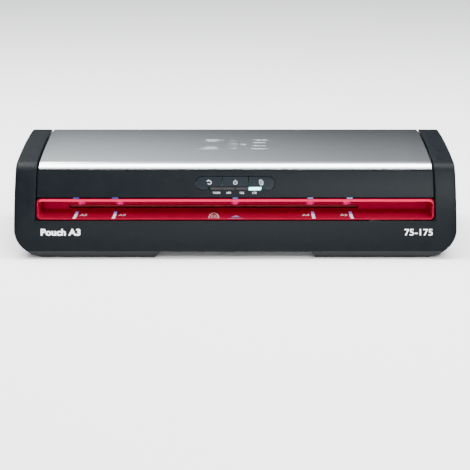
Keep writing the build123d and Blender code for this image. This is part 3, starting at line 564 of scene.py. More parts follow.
@dataclass(frozen=True)
class Moulded:
    """Moulded or painted surface with grain, slight unevenness and settled dust."""

    name: str
    colour: Colour
    shade: Colour
    rough: tuple[float, float] = (0.3, 0.38)
    grain: float = 900.0
    depth: float = 0.02
    coarse: float = 0.25
    metallic: float = 0.0
    coat: float = 0.0
    coat_rough: float = 0.1
    specular: float = 0.5
    dust: float = 0.04
    sheen: float = 0.0

    def build(self) -> bpy.types.Material:
        """Makes the material.

        Returns:
            The material, with the grain and dust groups placed in it.
        """
        material = bpy.data.materials.new(self.name)
        material.use_nodes = True
        graph = Graph(material.node_tree)
        shader = material.node_tree.nodes["Principled BSDF"]
        place = graph.add("ShaderNodeTexCoord")
        grain = graph.add("ShaderNodeGroup", node_tree=grain_group())
        material.node_tree.links.new(place.outputs["Object"], grain.inputs["Vector"])
        grain.inputs["Scale"].default_value = self.grain
        grain.inputs["Coarseness"].default_value = self.coarse
        dust = graph.add("ShaderNodeGroup", node_tree=dust_group())
        material.node_tree.links.new(place.outputs["Object"], dust.inputs["Vector"])
        dust.inputs["Amount"].default_value = self.dust
        tint = graph.add("ShaderNodeMix", {"Factor": grain.outputs["Mask"]}, data_type="RGBA")
        tint.inputs[6].default_value = rgba(self.colour)
        tint.inputs[7].default_value = rgba(self.shade)
        dusty = graph.add("ShaderNodeMix", {"Factor": dust.outputs["Mask"]}, data_type="RGBA")
        dusty.inputs[7].default_value = rgba((0.55, 0.54, 0.52))
        link = material.node_tree.links.new
        link(tint.outputs[2], dusty.inputs[6])
        link(dusty.outputs[2], shader.inputs["Base Color"])
        rough = graph.add("ShaderNodeMapRange", {"Value": grain.outputs["Mask"],
                                                 "To Min": self.rough[0], "To Max": self.rough[1]})
        link(rough.outputs["Result"], shader.inputs["Roughness"])
        bump = graph.add("ShaderNodeBump", {"Height": grain.outputs["Height"],
                                            "Strength": 0.6, "Distance": self.depth * MM})
        link(bump.outputs["Normal"], shader.inputs["Normal"])
        shader.inputs["Metallic"].default_value = self.metallic
        shader.inputs["Coat Weight"].default_value = self.coat
        shader.inputs["Coat Roughness"].default_value = self.coat_rough
        shader.inputs["Specular IOR Level"].default_value = self.specular
        shader.inputs["Sheen Weight"].default_value = self.sheen
        return material


@dataclass(frozen=True)
class Glow:
    """Emissive surface whose light varies through a soft noise: lit diffusers, and painted glow on the
    tray's bars.
    """

    name: str
    colour: Colour
    light: Colour
    strength: float
    rough: float = 0.25

    def build(self) -> bpy.types.Material:
        """Makes the material.

        Returns:
            The material.
        """
        material = bpy.data.materials.new(self.name)
        material.use_nodes = True
        graph = Graph(material.node_tree)
        shader = material.node_tree.nodes["Principled BSDF"]
        link = material.node_tree.links.new
        place = graph.add("ShaderNodeTexCoord")
        cloud = graph.add("ShaderNodeTexNoise", {"Vector": place.outputs["Object"], "Scale": 350.0})
        tint = graph.add("ShaderNodeMix", {"Factor": cloud.outputs["Fac"]}, data_type="RGBA")
        tint.inputs[6].default_value = rgba(self.light)
        tint.inputs[7].default_value = rgba(tuple(0.85 * part for part in self.light))
        link(tint.outputs[2], shader.inputs["Emission Color"])
        shader.inputs["Emission Strength"].default_value = self.strength
        shader.inputs["Base Color"].default_value = rgba(self.colour)
        shader.inputs["Roughness"].default_value = self.rough
        return material


class Finishes:
    """All materials of the machine, each made once."""

    def __init__(self) -> None:
        """Builds the materials."""
        self.housing = Moulded("housing black", (0.003, 0.0045, 0.006), (0.004, 0.0055, 0.007),
                               rough=(0.37, 0.4), depth=0.008, dust=0.01, specular=0.06).build()
        self.panel = Moulded("panel black", (0.003, 0.0045, 0.006), (0.004, 0.0055, 0.007),
                             rough=(0.37, 0.4), depth=0.006, dust=0.01, specular=0.065).build()
        self.pan = Moulded("pan charcoal", (0.009, 0.01, 0.011), (0.011, 0.012, 0.013),
                           rough=(0.5, 0.56), depth=0.02, dust=0.02, specular=0.2).build()
        self.silver = Moulded("pearl silver", (0.62, 0.645, 0.67), (0.64, 0.665, 0.69),
                              rough=(0.2, 0.21), grain=2600.0, depth=0.001, metallic=1.0,
                              dust=0.0).build()
        self.red = Moulded("tray red", (0.37, 0.004, 0.036), (0.4, 0.005, 0.04),
                           rough=(0.5, 0.54), depth=0.005, dust=0.0, specular=0.02).build()
        # Darker copy of the tray red for the rim: painted shade, as rim and recess are the same red
        # plastic.
        self.rim_red_painted_shade = Moulded("rim red painted shade", (0.17, 0.002, 0.014), (0.19, 0.003, 0.017),
                               rough=(0.5, 0.54), depth=0.005, dust=0.0, specular=0.02).build()
        self.button = Moulded("button black", (0.004, 0.007, 0.01), (0.005, 0.008, 0.011),
                              rough=(0.34, 0.38), depth=0.005, dust=0.01, specular=0.08).build()
        self.window = Moulded("window grey", (0.022, 0.02, 0.022), (0.027, 0.024, 0.026),
                              rough=(0.45, 0.5), depth=0.004, dust=0.0, specular=0.06).build()
        self.window_lit = Glow("window lit", (0.5, 0.85, 0.9), (0.35, 0.95, 1.0), 3.0).build()
        self.guide_light = Glow("guide light", (0.02, 0.015, 0.15), (0.1, 0.07, 0.6), 0.14).build()
        self.ink = Moulded("printed ink", (0.4, 0.43, 0.45), (0.46, 0.48, 0.5),
                           rough=(0.45, 0.55), depth=0.003, dust=0.0).build()
        self.tray_ink = Moulded("tray ink", (0.8, 0.72, 0.76), (0.9, 0.82, 0.86),
                                rough=(0.4, 0.5), depth=0.003, dust=0.0).build()
        # The tray's paper-size bars glow though they are no lamp: painted light, whitish near the
        # front and blue further back.
        self.bar_painted_glow = Glow("bar white painted glow", (0.8, 0.9, 0.95), (0.7, 0.95, 1.0), 0.75).build()
        self.bar_blue_painted_glow = Glow("bar blue painted glow", (0.4, 0.42, 0.8), (0.2, 0.3, 1.0), 0.5).build()
        self.front_ink = Moulded("front ink", (0.9, 0.9, 0.9), (0.94, 0.94, 0.94),
                                 rough=(0.45, 0.55), depth=0.003, dust=0.0).build()
        self.deep_blue = Moulded("arrow deep blue", (0.03, 0.08, 0.4), (0.05, 0.1, 0.45),
                                 rough=(0.35, 0.45), depth=0.003, dust=0.0).build()
        self.blue_ink = Moulded("arrow blue", (0.3, 0.45, 0.75), (0.36, 0.52, 0.82),
                                rough=(0.35, 0.45), depth=0.003, dust=0.0).build()
        self.rubber = Moulded("foot rubber", (0.02, 0.02, 0.02), (0.03, 0.03, 0.03),
                              rough=(0.7, 0.85), depth=0.04, dust=0.05).build()
        self.dark = Moulded("dark moulding", (0.015, 0.015, 0.016), (0.022, 0.022, 0.023),
                            rough=(0.45, 0.55), depth=0.02, dust=0.04).build()
        self.steel = Moulded("zinc plated steel", (0.5, 0.5, 0.5), (0.62, 0.61, 0.58),
                             rough=(0.25, 0.42), grain=500.0, depth=0.01, metallic=1.0,
                             dust=0.02).build()
        self.aluminium = Moulded("extruded aluminium", (0.7, 0.7, 0.71), (0.78, 0.78, 0.79),
                                 rough=(0.3, 0.42), grain=700.0, depth=0.01, metallic=1.0).build()
        self.silicone = Moulded("roller silicone", (0.42, 0.03, 0.04), (0.48, 0.04, 0.05),
                                rough=(0.5, 0.62), depth=0.02).build()
        self.acetal = Moulded("gear acetal", (0.75, 0.73, 0.68), (0.8, 0.78, 0.73),
                              rough=(0.35, 0.45), depth=0.01).build()
        self.board = Moulded("solder resist", (0.01, 0.13, 0.05), (0.015, 0.17, 0.07),
                             rough=(0.25, 0.35), depth=0.01, coat=0.4).build()
        self.copper = Moulded("copper winding", (0.6, 0.25, 0.1), (0.7, 0.32, 0.14),
                              rough=(0.3, 0.45), grain=1500.0, depth=0.05, metallic=1.0).build()
        self.ceramic = Moulded("heater ceramic", (0.7, 0.66, 0.58), (0.78, 0.74, 0.66),
                               rough=(0.6, 0.7), depth=0.03).build()
        self.clear = Moulded("clear lens", (0.6, 0.62, 0.75), (0.66, 0.68, 0.8),
                             rough=(0.1, 0.16), depth=0.002, dust=0.0, coat=0.6).build()

    def for_slot(self, name: str) -> bpy.types.Material:
        """Material of a record slot."""
        table = {
            "black_plastic": self.housing, "panel_plastic": self.panel, "pan_plastic": self.pan,
            "silver_plastic": self.silver, "red_plastic": self.red, "rubber": self.rubber,
            "clear_plastic": self.clear, "window_grey": self.window,
            "window_lit": self.window_lit, "button_plastic": self.button, "steel": self.steel,
            "aluminium": self.aluminium, "silicone": self.silicone, "acetal": self.acetal,
            "dark_plastic": self.dark, "pcb": self.board, "copper": self.copper,
            "ceramic": self.ceramic,
        }
        return table[name]


# ------------------------------------------------------------------ covers
def rounded_end(half: float, rim: float, turned: float) -> tuple[Array, Array]:
    """Cross-section along x of a cover whose ends are rounded and turned in.

    The corner is a quarter circle: x = half - r (1 - sin a), depth = r (1 - cos a).

    Args:
        half: half of the cover's length.
        rim: radius of the rounding.
        turned: depth that the ends reach.

    Returns:
        x and depth of the right-hand end, from the flat top outwards and down.
    """
    turn = np.linspace(0, pi / 2, 6)
    x = np.concatenate([half - rim * (1 - np.sin(turn)), [half]])
    depth = np.concatenate([rim * (1 - np.cos(turn)), [turned]])
    return x, depth


@dataclass
class CoverSizes:
    """Sizes of the silver cover and the control panel, in millimetres."""

    cover_half: float = 219.2
    panel_half: float = 220.2
    split_z: float = 93.4
    split_gap: float = 1.4
    rear_z: float = 98.6
    panel_low_z: float = 65.9
    turned: float = 8.0
    capsule: Pair = (89.0, 16.2)
    button_z: float = 80.2


class Covers:
    """Silver top cover and the dark control panel; the cover's raised emblem is made with the marks.
    """

    def __init__(self, sizes: CoverSizes, finishes: Finishes) -> None:
        """Keeps sizes and finishes and finds the lengths along the outline."""
        self.sizes = sizes
        self.finishes = finishes
        split = OUTLINE.length_at(sizes.split_z) + 0.3
        self.cover_start = split + sizes.split_gap / 2
        self.panel_end = split - sizes.split_gap / 2
        self.cover_end = OUTLINE.length_at(sizes.rear_z, rear=True)
        self.panel_start = OUTLINE.length_at(sizes.panel_low_z)
        self.button_length = OUTLINE.length_at(sizes.button_z)

    def strip(self, half: float, start: float, end: float, step: float,
              holes: Sequence[Hole] = ()) -> Shape:
        """Sheet along the outline with both ends rounded and turned in.

        Args:
            half: half of its length along x.
            start, end: lengths along the outline.
            step: spacing of the rows.
            holes: openings, in x and length along the outline.

        Returns:
            The shape.
        """
        shape = Shape()
        inner = half - 1.0
        sides = [edge for hole in holes for edge in hole.block[:2]]
        levels = [edge for hole in holes for edge in hole.block[2:]]
        us = lines(-inner, inner, *sides, step=6.0 if holes else 24.0)
        if holes:
            low, high = holes[0].block[:2]
            us = np.unique(np.concatenate([us[(us < low) | (us > high)], lines(low, high, step=1.5)]))
        vs = lines(start, end, *levels, step=step)
        points, faces = holed_sheet(us, vs, holes)
        shape.add(OUTLINE.place(points[:, 0], points[:, 1], np.zeros(len(points))), faces)
        x, depth = rounded_end(half, 1.0, self.sizes.turned)
        for side in (-1, 1):
            grid = OUTLINE.place(side * np.broadcast_to(x, (len(vs), len(x))),
                                 np.broadcast_to(vs[:, None], (len(vs), len(x))),
                                 np.broadcast_to(depth, (len(vs), len(x))))
            shape.grid(grid, flip=side < 0)
        return shape

    def build(self) -> None:
        """Makes the cover and the panel."""
        cover = self.strip(self.sizes.cover_half, self.cover_start, self.cover_end, 1.6)
        make_piece("silver_cover", cover.mesh("silver_cover"), self.finishes.silver, "machine",
                   Trim(wall=2.0, rim=0.5), ["top_cover"])
        length, width = self.sizes.capsule
        middle = self.button_length
        hole = Hole((0, middle), (length, width), width / 2,
                    (-length / 2 - 4, length / 2 + 4, middle - width / 2 - 2, middle + width / 2 + 2))
        panel = self.strip(self.sizes.panel_half, self.panel_start, self.panel_end, 1.0, [hole])
        make_piece("panel_skin", panel.mesh("panel_skin"), self.finishes.panel, "machine",
                   Trim(wall=2.5, rim=0.45), ["control_panel"])


# ------------------------------------------------------------------ housing
@dataclass
class HousingSizes:
    """Sizes of the black housing, in millimetres."""

    inner: float = 221.0
    edge_round: float = 2.5
    inner_round: float = 1.2
    corner: float = 4.8
    turned: float = 8.0
    lip_z: float = 41.7
    rear_z: float = 98.0
    vent: Pair = (2.8, 24.0)


class Housing:
    """Black housing: two end towers, the lower front and the rear wall."""

    def __init__(self, sizes: HousingSizes, finishes: Finishes) -> None:
        """Keeps the sizes and the finishes."""
        self.sizes = sizes
        self.finishes = finishes

    def lengths(self) -> Array:
        """Rows along the outline; front and rear rows stand at equal heights by the flank."""
        low = np.linspace(OUTLINE.seam, OUTLINE.flank_start_z, 9)
        front = [OUTLINE.length_at(z) for z in low]
        rear = [OUTLINE.length_at(z, rear=True) for z in low][::-1]
        middle = lines(front[-1], OUTLINE.length_at(self.sizes.lip_z),
                       OUTLINE.length_at(self.sizes.rear_z, rear=True), rear[0], step=1.8)
        return np.concatenate([front[:-1], middle, rear[1:]])

    def towers(self, shape: Shape) -> None:
        """Adds both towers: outer strip, rounding, side wall and turned-in inner edge.

        The strip runs along the outline; its outer edge follows the flank's half width, and
        the rounding is a quarter circle in x and depth. The side wall joins front and rear
        rows of equal height, and is flat above the flank.
        """
        sizes = self.sizes
        rows = self.lengths()
        heights = OUTLINE.walk(rows)[0][:, 1]
        turn = np.linspace(0, pi / 2, 7)
        edge_x = OUTLINE.flank_x(heights)[:, None] - sizes.edge_round * (1 - np.sin(turn))
        edge_depth = np.broadcast_to(sizes.edge_round * (1 - np.cos(turn)), edge_x.shape)
        share = np.linspace(0, 1, 4)[:-1]
        start = sizes.inner + sizes.inner_round
        flat_x = start + (edge_x[:, :1] - start) * share
        x = np.concatenate([flat_x, edge_x], axis=1)
        depth = np.concatenate([np.zeros_like(flat_x), edge_depth], axis=1)
        along = np.broadcast_to(rows[:, None], x.shape)
        inner_x, inner_depth = rounded_end(sizes.inner_round, sizes.inner_round, sizes.turned)
        lip = OUTLINE.length_at(sizes.lip_z)
        rear = OUTLINE.length_at(sizes.rear_z, rear=True)
        opened = rows[(rows >= lip - 1e-6) & (rows <= rear + 1e-6)]
        closed = [rows[rows <= lip + 1e-6], rows[rows >= rear - 1e-6]]
        flank_rows = int(np.argmin(abs(heights[: len(rows) // 2] - OUTLINE.flank_start_z)))
        for side in (-1, 1):
            grid = OUTLINE.place(side * x, along, depth)
            shape.grid(grid, flip=side < 0)
            turned = OUTLINE.place(
                np.broadcast_to(side * (sizes.inner + sizes.inner_round - inner_x),
                                (len(opened), len(inner_x))),
                np.broadcast_to(opened[:, None], (len(opened), len(inner_x))),
                np.broadcast_to(inner_depth, (len(opened), len(inner_x))))
            shape.grid(turned, flip=side > 0)
            for part in closed:
                joint = OUTLINE.place(
                    np.broadcast_to(side * np.array([sizes.inner, start]), (len(part), 2)),
                    np.broadcast_to(part[:, None], (len(part), 2)), np.zeros((len(part), 2)))
                shape.grid(joint, flip=side < 0)
            ring = grid[:, -1]
            front, back = ring[: flank_rows + 1], ring[::-1][: flank_rows + 1]
            shape.grid(np.stack([front, back], axis=1), flip=side < 0)
            cap = ring[flank_rows: len(ring) - flank_rows]
            shape.add(cap, [list(range(len(cap)))], flip=side > 0)

    def build(self) -> None:
        """Makes the housing with its lower front and rear wall."""
        sizes = self.sizes
        shape = Shape()
        self.towers(shape)
        rows = self.lengths()
        lip = OUTLINE.length_at(sizes.lip_z)
        rear = OUTLINE.length_at(sizes.rear_z, rear=True)
        front_rows = rows[rows <= lip + 1e-6]
        us = lines(-sizes.inner, sizes.inner, step=40)
        points, faces = holed_sheet(us, front_rows)
        shape.add(OUTLINE.place(points[:, 0], points[:, 1], np.zeros(len(points))), faces)
        self.rear_wall(shape, rows[rows >= rear - 1e-6])
        self.corners(shape)
        make_piece("housing_skin", shape.mesh("housing_skin"), self.finishes.housing, "machine",
                   Trim(wall=2.5, rim=0.4), ["main_housing"])

    def corners(self, shape: Shape) -> None:
        """Adds the rounded fillings in the two lower corners of the front opening.

        Each is a fan between the corner and a quarter circle: the rows run from the corner's
        two sides, at equal shares of the turn, to the circle.
        """
        radius = self.sizes.corner
        turn = np.linspace(0, pi / 2, 9)
        x0, z0 = self.sizes.inner, self.sizes.lip_z
        circle = np.stack([x0 - radius + radius * np.sin(turn),
                           z0 + radius - radius * np.cos(turn)], axis=1)
        square = np.stack([np.minimum(x0, x0 - radius + 2 * radius * turn / (pi / 2)),
                           z0 + np.maximum(0, 2 * radius * turn / (pi / 2) - radius)], axis=1)
        share = np.linspace(0, 1, 3)[:, None, None]
        flat = square + (circle - square) * share
        for side in (-1, 1):
            y = OUTLINE.front_y(flat[..., 1])
            shape.grid(np.stack([side * flat[..., 0], y, flat[..., 1]], axis=-1), flip=side > 0)

    def rear_wall(self, shape: Shape, rows: Array) -> None:
        """Adds the rear wall with the exit slot, the inlet's opening and the vents.

        Args:
            shape: the surface that the wall is added to.
            rows: lengths along the outline at which the wall has a row of points.
        """
        exit_low, exit_high = box_mm("exit_guide")
        inlet_low, inlet_high = box_mm("power_inlet")
        exit_gap, inlet_gap = 0.4, 0.3
        vent_z, vent_step = 76, 8
        right_vent, right_count = 170, 6
        left_vent, left_count, left_shorter = -180, 16, 4

        def reach(z: float) -> float:
            """Length along the outline at the rear wall's row nearest to a height."""
            wanted = OUTLINE.length_at(z, rear=True)
            return rows[int(np.argmin(abs(rows - wanted)))]

        def opening(x0: float, x1: float, z0: float, z1: float, corner: float, margin: Pair) -> Hole:
            """Opening between two heights, with its block of cells round it."""
            top, bottom = OUTLINE.length_at(z1, rear=True), OUTLINE.length_at(z0, rear=True)
            return Hole(((x0 + x1) / 2, (top + bottom) / 2), (x1 - x0, bottom - top), corner,
                        (x0 - margin[0], x1 + margin[0],
                         reach(z1 + margin[1]), reach(z0 - margin[1])))

        holes = [
            opening(exit_low[0] - exit_gap, exit_high[0] + exit_gap, exit_low[2] - exit_gap,
                    exit_high[2] + exit_gap, 1.0, (3, 3)),
            opening(inlet_low[0] - inlet_gap, inlet_high[0] + inlet_gap,
                    inlet_low[2] - inlet_gap, inlet_high[2] + inlet_gap, 0.9, (3, 4)),
        ]
        width, tall = self.sizes.vent
        centres = [right_vent + vent_step * index for index in range(right_count)]
        centres += [left_vent + vent_step * index for index in range(left_count)]
        for x in centres:
            height = tall if x > 0 else tall - left_shorter
            holes.append(opening(x - width / 2, x + width / 2, vent_z - height / 2,
                                 vent_z + height / 2, width / 2, (2.6, 3)))
        sides = [edge for hole in holes for edge in hole.block[:2]]
        us = lines(-self.sizes.inner, self.sizes.inner, *sides, *centres, step=12)
        points, faces = holed_sheet(us, rows, holes)
        shape.add(OUTLINE.place(points[:, 0], points[:, 1], np.zeros(len(points))), faces)


# ------------------------------------------------------------------ feed tray
@dataclass
class TraySizes:
    """Sizes of the red feed tray, in millimetres."""

    half: float = 219.9
    low_z: float = 42.5
    high_z: float = 64.4
    rim: float = 1.8
    floor_z: float = 42.6
    roof_z: float = 62.9
    back_y: float = -36.0
    corner: float = 4.0
    bead: float = 0.8
    recess: float = 0.9
    sill: float = 1.3
    rise_start: float = 3.0
    rise: float = 14.0
    edge: float = 0.6
    flange: float = 2.6
    back_round: float = 2.5
    slot_half: float = 164.0
    slot_low: float = 42.9
    slot_high: float = 47.1
    slot_corner: float = 1.2
    slot_round: float = 0.5
    slot_end_y: float = -29.0
    slot_shift: float = 0.25


def rounded_loop(half: float, low: float, high: float, corner: float, middle: float = 0.0,
                 per_side: int = 24, per_corner: int = 8) -> Array:
    """Closed rounded rectangle in x and z, walked anticlockwise from its lower left.

    Args:
        half: half of its width.
        low, high: its lower and upper edge.
        corner: radius of its corners.
        middle: x of its centre.
        per_side, per_corner: points on each side and corner.

    Returns:
        Points (x, z).
    """
    corner = max(min(corner, half - 1e-3, (high - low) / 2 - 1e-3), 1e-3)
    turns = np.linspace(0, pi / 2, per_corner)
    centres = [(half - corner, low + corner, -pi / 2), (half - corner, high - corner, 0.0),
               (-half + corner, high - corner, pi / 2), (-half + corner, low + corner, pi)]
    arcs = [np.stack([middle + x + corner * np.cos(start + turns),
                      z + corner * np.sin(start + turns)], axis=1) for x, z, start in centres]
    parts = []
    for index, arc in enumerate(arcs):
        before = arcs[index - 1][-1]
        share = np.linspace(0, 1, per_side + 1)[1:-1, None]
        parts += [before + (arc[0] - before) * share, arc]
    return np.concatenate(parts)


class FeedTray:
    """Red recess with its bead, floor, back wall and pouch slot."""

    def __init__(self, sizes: TraySizes, finishes: Finishes) -> None:
        """Keeps the sizes and the finishes."""
        self.sizes = sizes
        self.finishes = finishes

    def build(self) -> None:
        """Makes the rim and the recess, each a surface of rounded loops, down to the slot.

        Each loop is a rounded rectangle in x and z. On the rim its y follows the bowed front
        plus a small depth; in the recess y is constant. The rim's edge, its bead, the inner
        back edge and the slot's mouth are quarter circles between neighbouring loops: the inset
        is the radius times one minus a cosine or sine, and the depth has the other of the two.
        The floor drops from the sill by half a cosine wave.
        """
        sizes = self.sizes
        sleeve_low, sleeve_high = box_mm("lower_hot_roller_sleeve")
        loops = []

        def on_front(half: float, z0: float, z1: float, corner: float, depth: float) -> None:
            """Adds a loop on the bowed front."""
            loop = rounded_loop(half, z0, z1, corner)
            y = OUTLINE.front_y(loop[:, 1]) + depth
            loops.append(np.stack([loop[:, 0], y, loop[:, 1]], axis=1))

        def at(y: float, half: float, z0: float, z1: float, corner: float,
               middle: float = 0.0) -> None:
            """Adds a loop at a constant y."""
            loop = rounded_loop(half, z0, z1, corner, middle)
            loops.append(np.stack([loop[:, 0], np.full(len(loop), y), loop[:, 1]], axis=1))

        turns = np.linspace(0, pi / 2, 7)
        on_front(sizes.half, sizes.low_z, sizes.high_z, sizes.corner, sizes.flange)
        for turn in turns:
            inset = sizes.edge * (1 - cos(turn))
            on_front(sizes.half - inset, sizes.low_z + inset, sizes.high_z - inset,
                     sizes.corner, sizes.recess + sizes.edge * (1 - sin(turn)))
        inner_low = sizes.floor_z + sizes.sill
        half_in = sizes.half - sizes.rim
        for turn in turns[1:]:
            inset = sizes.bead * (1 - sin(turn))
            on_front(half_in + inset, inner_low - inset, sizes.roof_z + inset,
                     sizes.corner, sizes.recess + sizes.bead * (1 - cos(turn)))
        rim_loops = len(loops)
        front = float(OUTLINE.front_y(sizes.floor_z))
        for share in np.linspace(0, 1, 9):
            drop = sizes.sill * (0.5 - 0.5 * cos(pi * share))
            at(front + sizes.rise_start + sizes.rise * share, half_in, inner_low - drop,
               sizes.roof_z, sizes.corner)
        for turn in turns:
            inset = sizes.back_round * (1 - cos(turn))
            at(sizes.back_y - sizes.back_round * (1 - sin(turn)), half_in - inset,
               sizes.floor_z + inset * 0.15, sizes.roof_z - inset, sizes.corner)
        slot_middle = (sleeve_low[0] + sleeve_high[0]) / 2 + sizes.slot_shift
        for turn in np.linspace(0, pi / 2, 5):
            inset = sizes.slot_round * (1 - sin(turn))
            at(sizes.back_y + sizes.slot_round * (1 - cos(turn)), sizes.slot_half + inset,
               sizes.slot_low - inset, sizes.slot_high + inset, sizes.slot_corner + inset,
               slot_middle)
        at(sizes.slot_end_y, sizes.slot_half, sizes.slot_low, sizes.slot_high,
           sizes.slot_corner, slot_middle)
        rim = Shape().grid(np.stack(loops[:rim_loops]), closed=True)
        # The rim gets the darker red: painted shade against the light that it catches.
        make_piece("tray_rim", rim.mesh("tray_rim"), self.finishes.rim_red_painted_shade, "machine",
                   Trim(wall=1.0, even=False), ["feed_tray"])
        shell = Shape().grid(np.stack(loops[rim_loops - 1:]), closed=True)
        make_piece("tray_shell", shell.mesh("tray_shell"), self.finishes.red, "machine",
                   Trim(wall=1.0, even=False), ["feed_tray"])


# ------------------------------------------------------------------ marks
Placer = Callable[[Array, Array, Array], Array]


def front_placer(x: float, z: float) -> Placer:
    """Map for marks on the front: u along x, v up the surface, w outwards."""
    start = OUTLINE.length_at(z)

    def place(u: Array, v: Array, w: Array) -> Array:
        """Point on the front surface."""
        return OUTLINE.place(x + u, start + v, -w)

    return place


def floor_placer(x: float, y: float, floor: Callable[[Array], Array]) -> Placer:
    """Map for marks on the tray's floor: u along x, v towards the back, w up."""

    def place(u: Array, v: Array, w: Array) -> Array:
        """Point on the tray's floor."""
        return np.stack([x + u, y + v, floor(y + v) + w], axis=-1)

    return place


def short_runs(path: Array, longest: float, closed: bool) -> Array:
    """Flat path with every run cut into equal runs no longer than a limit.

    Each run is cut into its length over the limit, rounded up, so that a mark follows the
    curved surface it lies on.

    Args:
        path: points (u, v).
        longest: longest run.
        closed: the last point is joined to the first.

    Returns:
        The path with the added points.
    """
    ends = np.roll(path, -1, axis=0)
    if not closed:
        ends = ends[:-1]
    points: list[Array] = []
    for start, end in zip(path, ends):
        count = max(1, ceil(float(np.linalg.norm(end - start)) / longest))
        points.extend(start + (end - start) * step / count for step in range(count))
    if not closed:
        points.append(path[-1])
    return np.array(points)


@dataclass
class Mark:
    """Thin printed or raised shape made of ribbons, plates and figures, laid on a surface."""

    low: float = -0.03
    high: float = 0.05
    shape: Shape = field(default_factory=Shape)

    def ribbon(self, path: Sequence[Pair] | Array, width: float, closed: bool = False) -> "Mark":
        """Adds a line of constant width: a rectangle swept along a flat path.

        At each point the rectangle stands along the bisector of the two runs, lengthened by
        one over the cosine of half the turn so that the line keeps its width.

        Args:
            path: points (u, v).
            width: width of the line.
            closed: joins the end to the start.

        Returns:
            The mark itself.
        """
        path = short_runs(np.asarray(path, dtype=float), 3.0, closed)
        ahead = np.roll(path, -1, axis=0) - path
        behind = path - np.roll(path, 1, axis=0)
        if not closed:
            ahead[-1], behind[0] = behind[-1], ahead[0]
        ahead /= np.linalg.norm(ahead, axis=1, keepdims=True)
        behind /= np.linalg.norm(behind, axis=1, keepdims=True)
        mean = ahead + behind
        mean /= np.linalg.norm(mean, axis=1, keepdims=True)
        side = np.stack([-mean[:, 1], mean[:, 0]], axis=1)
        reach = width / 2 / np.clip((mean * ahead).sum(axis=1), 0.5, 1.0)
        left, right = path + side * reach[:, None], path - side * reach[:, None]
        corners = [(left, self.high), (left, self.low), (right, self.low), (right, self.high)]
        loops = np.stack([np.concatenate([flat, np.full((len(path), 1), level)], axis=1)
                          for flat, level in corners], axis=1)
        if closed:
            loops = np.concatenate([loops, loops[:1]])
        self.shape.grid(loops, closed=True)
        if not closed:
            self.shape.add(loops[0], [[0, 1, 2, 3]], flip=True)
            self.shape.add(loops[-1], [[0, 1, 2, 3]])
        return self

    def plate(self, outline: Sequence[Pair] | Array, lift: float = 0.0) -> "Mark":
        """Adds a convex plate with an outline that runs anticlockwise."""
        flat = np.asarray(outline, dtype=float)
        count = len(flat)
        top = np.concatenate([flat, np.full((count, 1), self.high + lift)], axis=1)
        bottom = np.concatenate([flat, np.full((count, 1), self.low)], axis=1)
        self.shape.add(top, [list(range(count))])
        self.shape.add(bottom, [list(range(count))[::-1]])
        self.shape.grid(np.stack([bottom, top]), closed=True)
        return self

    def figures(self, text: str, height: float, centre: Pair = (0.0, 0.0),
                squeeze: float = 1.0, bold: float = 0.0) -> "Mark":
        """Adds figures, scaled to a height and centred.

        Args:
            text: the figures.
            height: height of a capital.
            centre: middle of the text.
            squeeze: width divided by the font's own width.
            bold: thickening of the strokes.

        Returns:
            The mark itself.
        """
        curve = bpy.data.curves.new("figures", "FONT")
        curve.body = text
        curve.size = 1.0
        curve.extrude = 0.5
        curve.offset = bold
        curve.resolution_u = 4
        holder = bpy.data.objects.new("figures", curve)
        bpy.context.scene.collection.objects.link(holder)
        graph = bpy.context.evaluated_depsgraph_get()
        flat = bpy.data.meshes.new_from_object(holder.evaluated_get(graph))
        points = np.zeros(len(flat.vertices) * 3)
        flat.vertices.foreach_get("co", points)
        points = points.reshape(-1, 3)
        faces = [list(face.vertices) for face in flat.polygons]
        bpy.data.objects.remove(holder)
        bpy.data.curves.remove(curve)
        bpy.data.meshes.remove(flat)
        low, high = points.min(axis=0), points.max(axis=0)
        scale = height / (high[1] - low[1])
        u = (points[:, 0] - (low[0] + high[0]) / 2) * scale * squeeze + centre[0]
        v = (points[:, 1] - (low[1] + high[1]) / 2) * scale + centre[1]
        w = np.where(points[:, 2] > 0, self.high, self.low)
        self.shape.add(np.stack([u, v, w], axis=1), faces)
        return self

    def lay(self, name: str, place: Placer, finish: bpy.types.Material, slot: str,
            body: str = "machine", rim: float = 0.0) -> bpy.types.Object:
        """Lays the mark on its surface and makes the piece."""
        flat = np.concatenate(self.shape.verts)
        placed = Shape()
        placed.add(place(flat[:, 0], flat[:, 1], flat[:, 2]), self.shape.faces)
        return make_piece(name, placed.mesh(name, merge=0.0005), finish, body,
                          Trim(rim=rim), shading=Shading.CRISP)


def arc_points(radius: float, start: float, end: float, count: int = 20,
               centre: Pair = (0.0, 0.0), flatten: float = 1.0) -> Array:
    """Points along an arc, angles in degrees; flatten scales it in v."""
    turn = np.radians(np.linspace(start, end, count))
    return np.stack([centre[0] + radius * np.cos(turn),
                     centre[1] + radius * flatten * np.sin(turn)], axis=1)


def rounded_frame(width: float, height: float, corner: float, centre: Pair = (0.0, 0.0),
                  lean: float = 0.0) -> Array:
    """Outline of a rounded rectangle, anticlockwise; lean shifts u with v."""
    loop = rounded_loop(width / 2, -height / 2, height / 2, corner, 0.0, per_side=6)
    return np.stack([centre[0] + loop[:, 0] + lean * loop[:, 1], centre[1] + loop[:, 1]], axis=1)


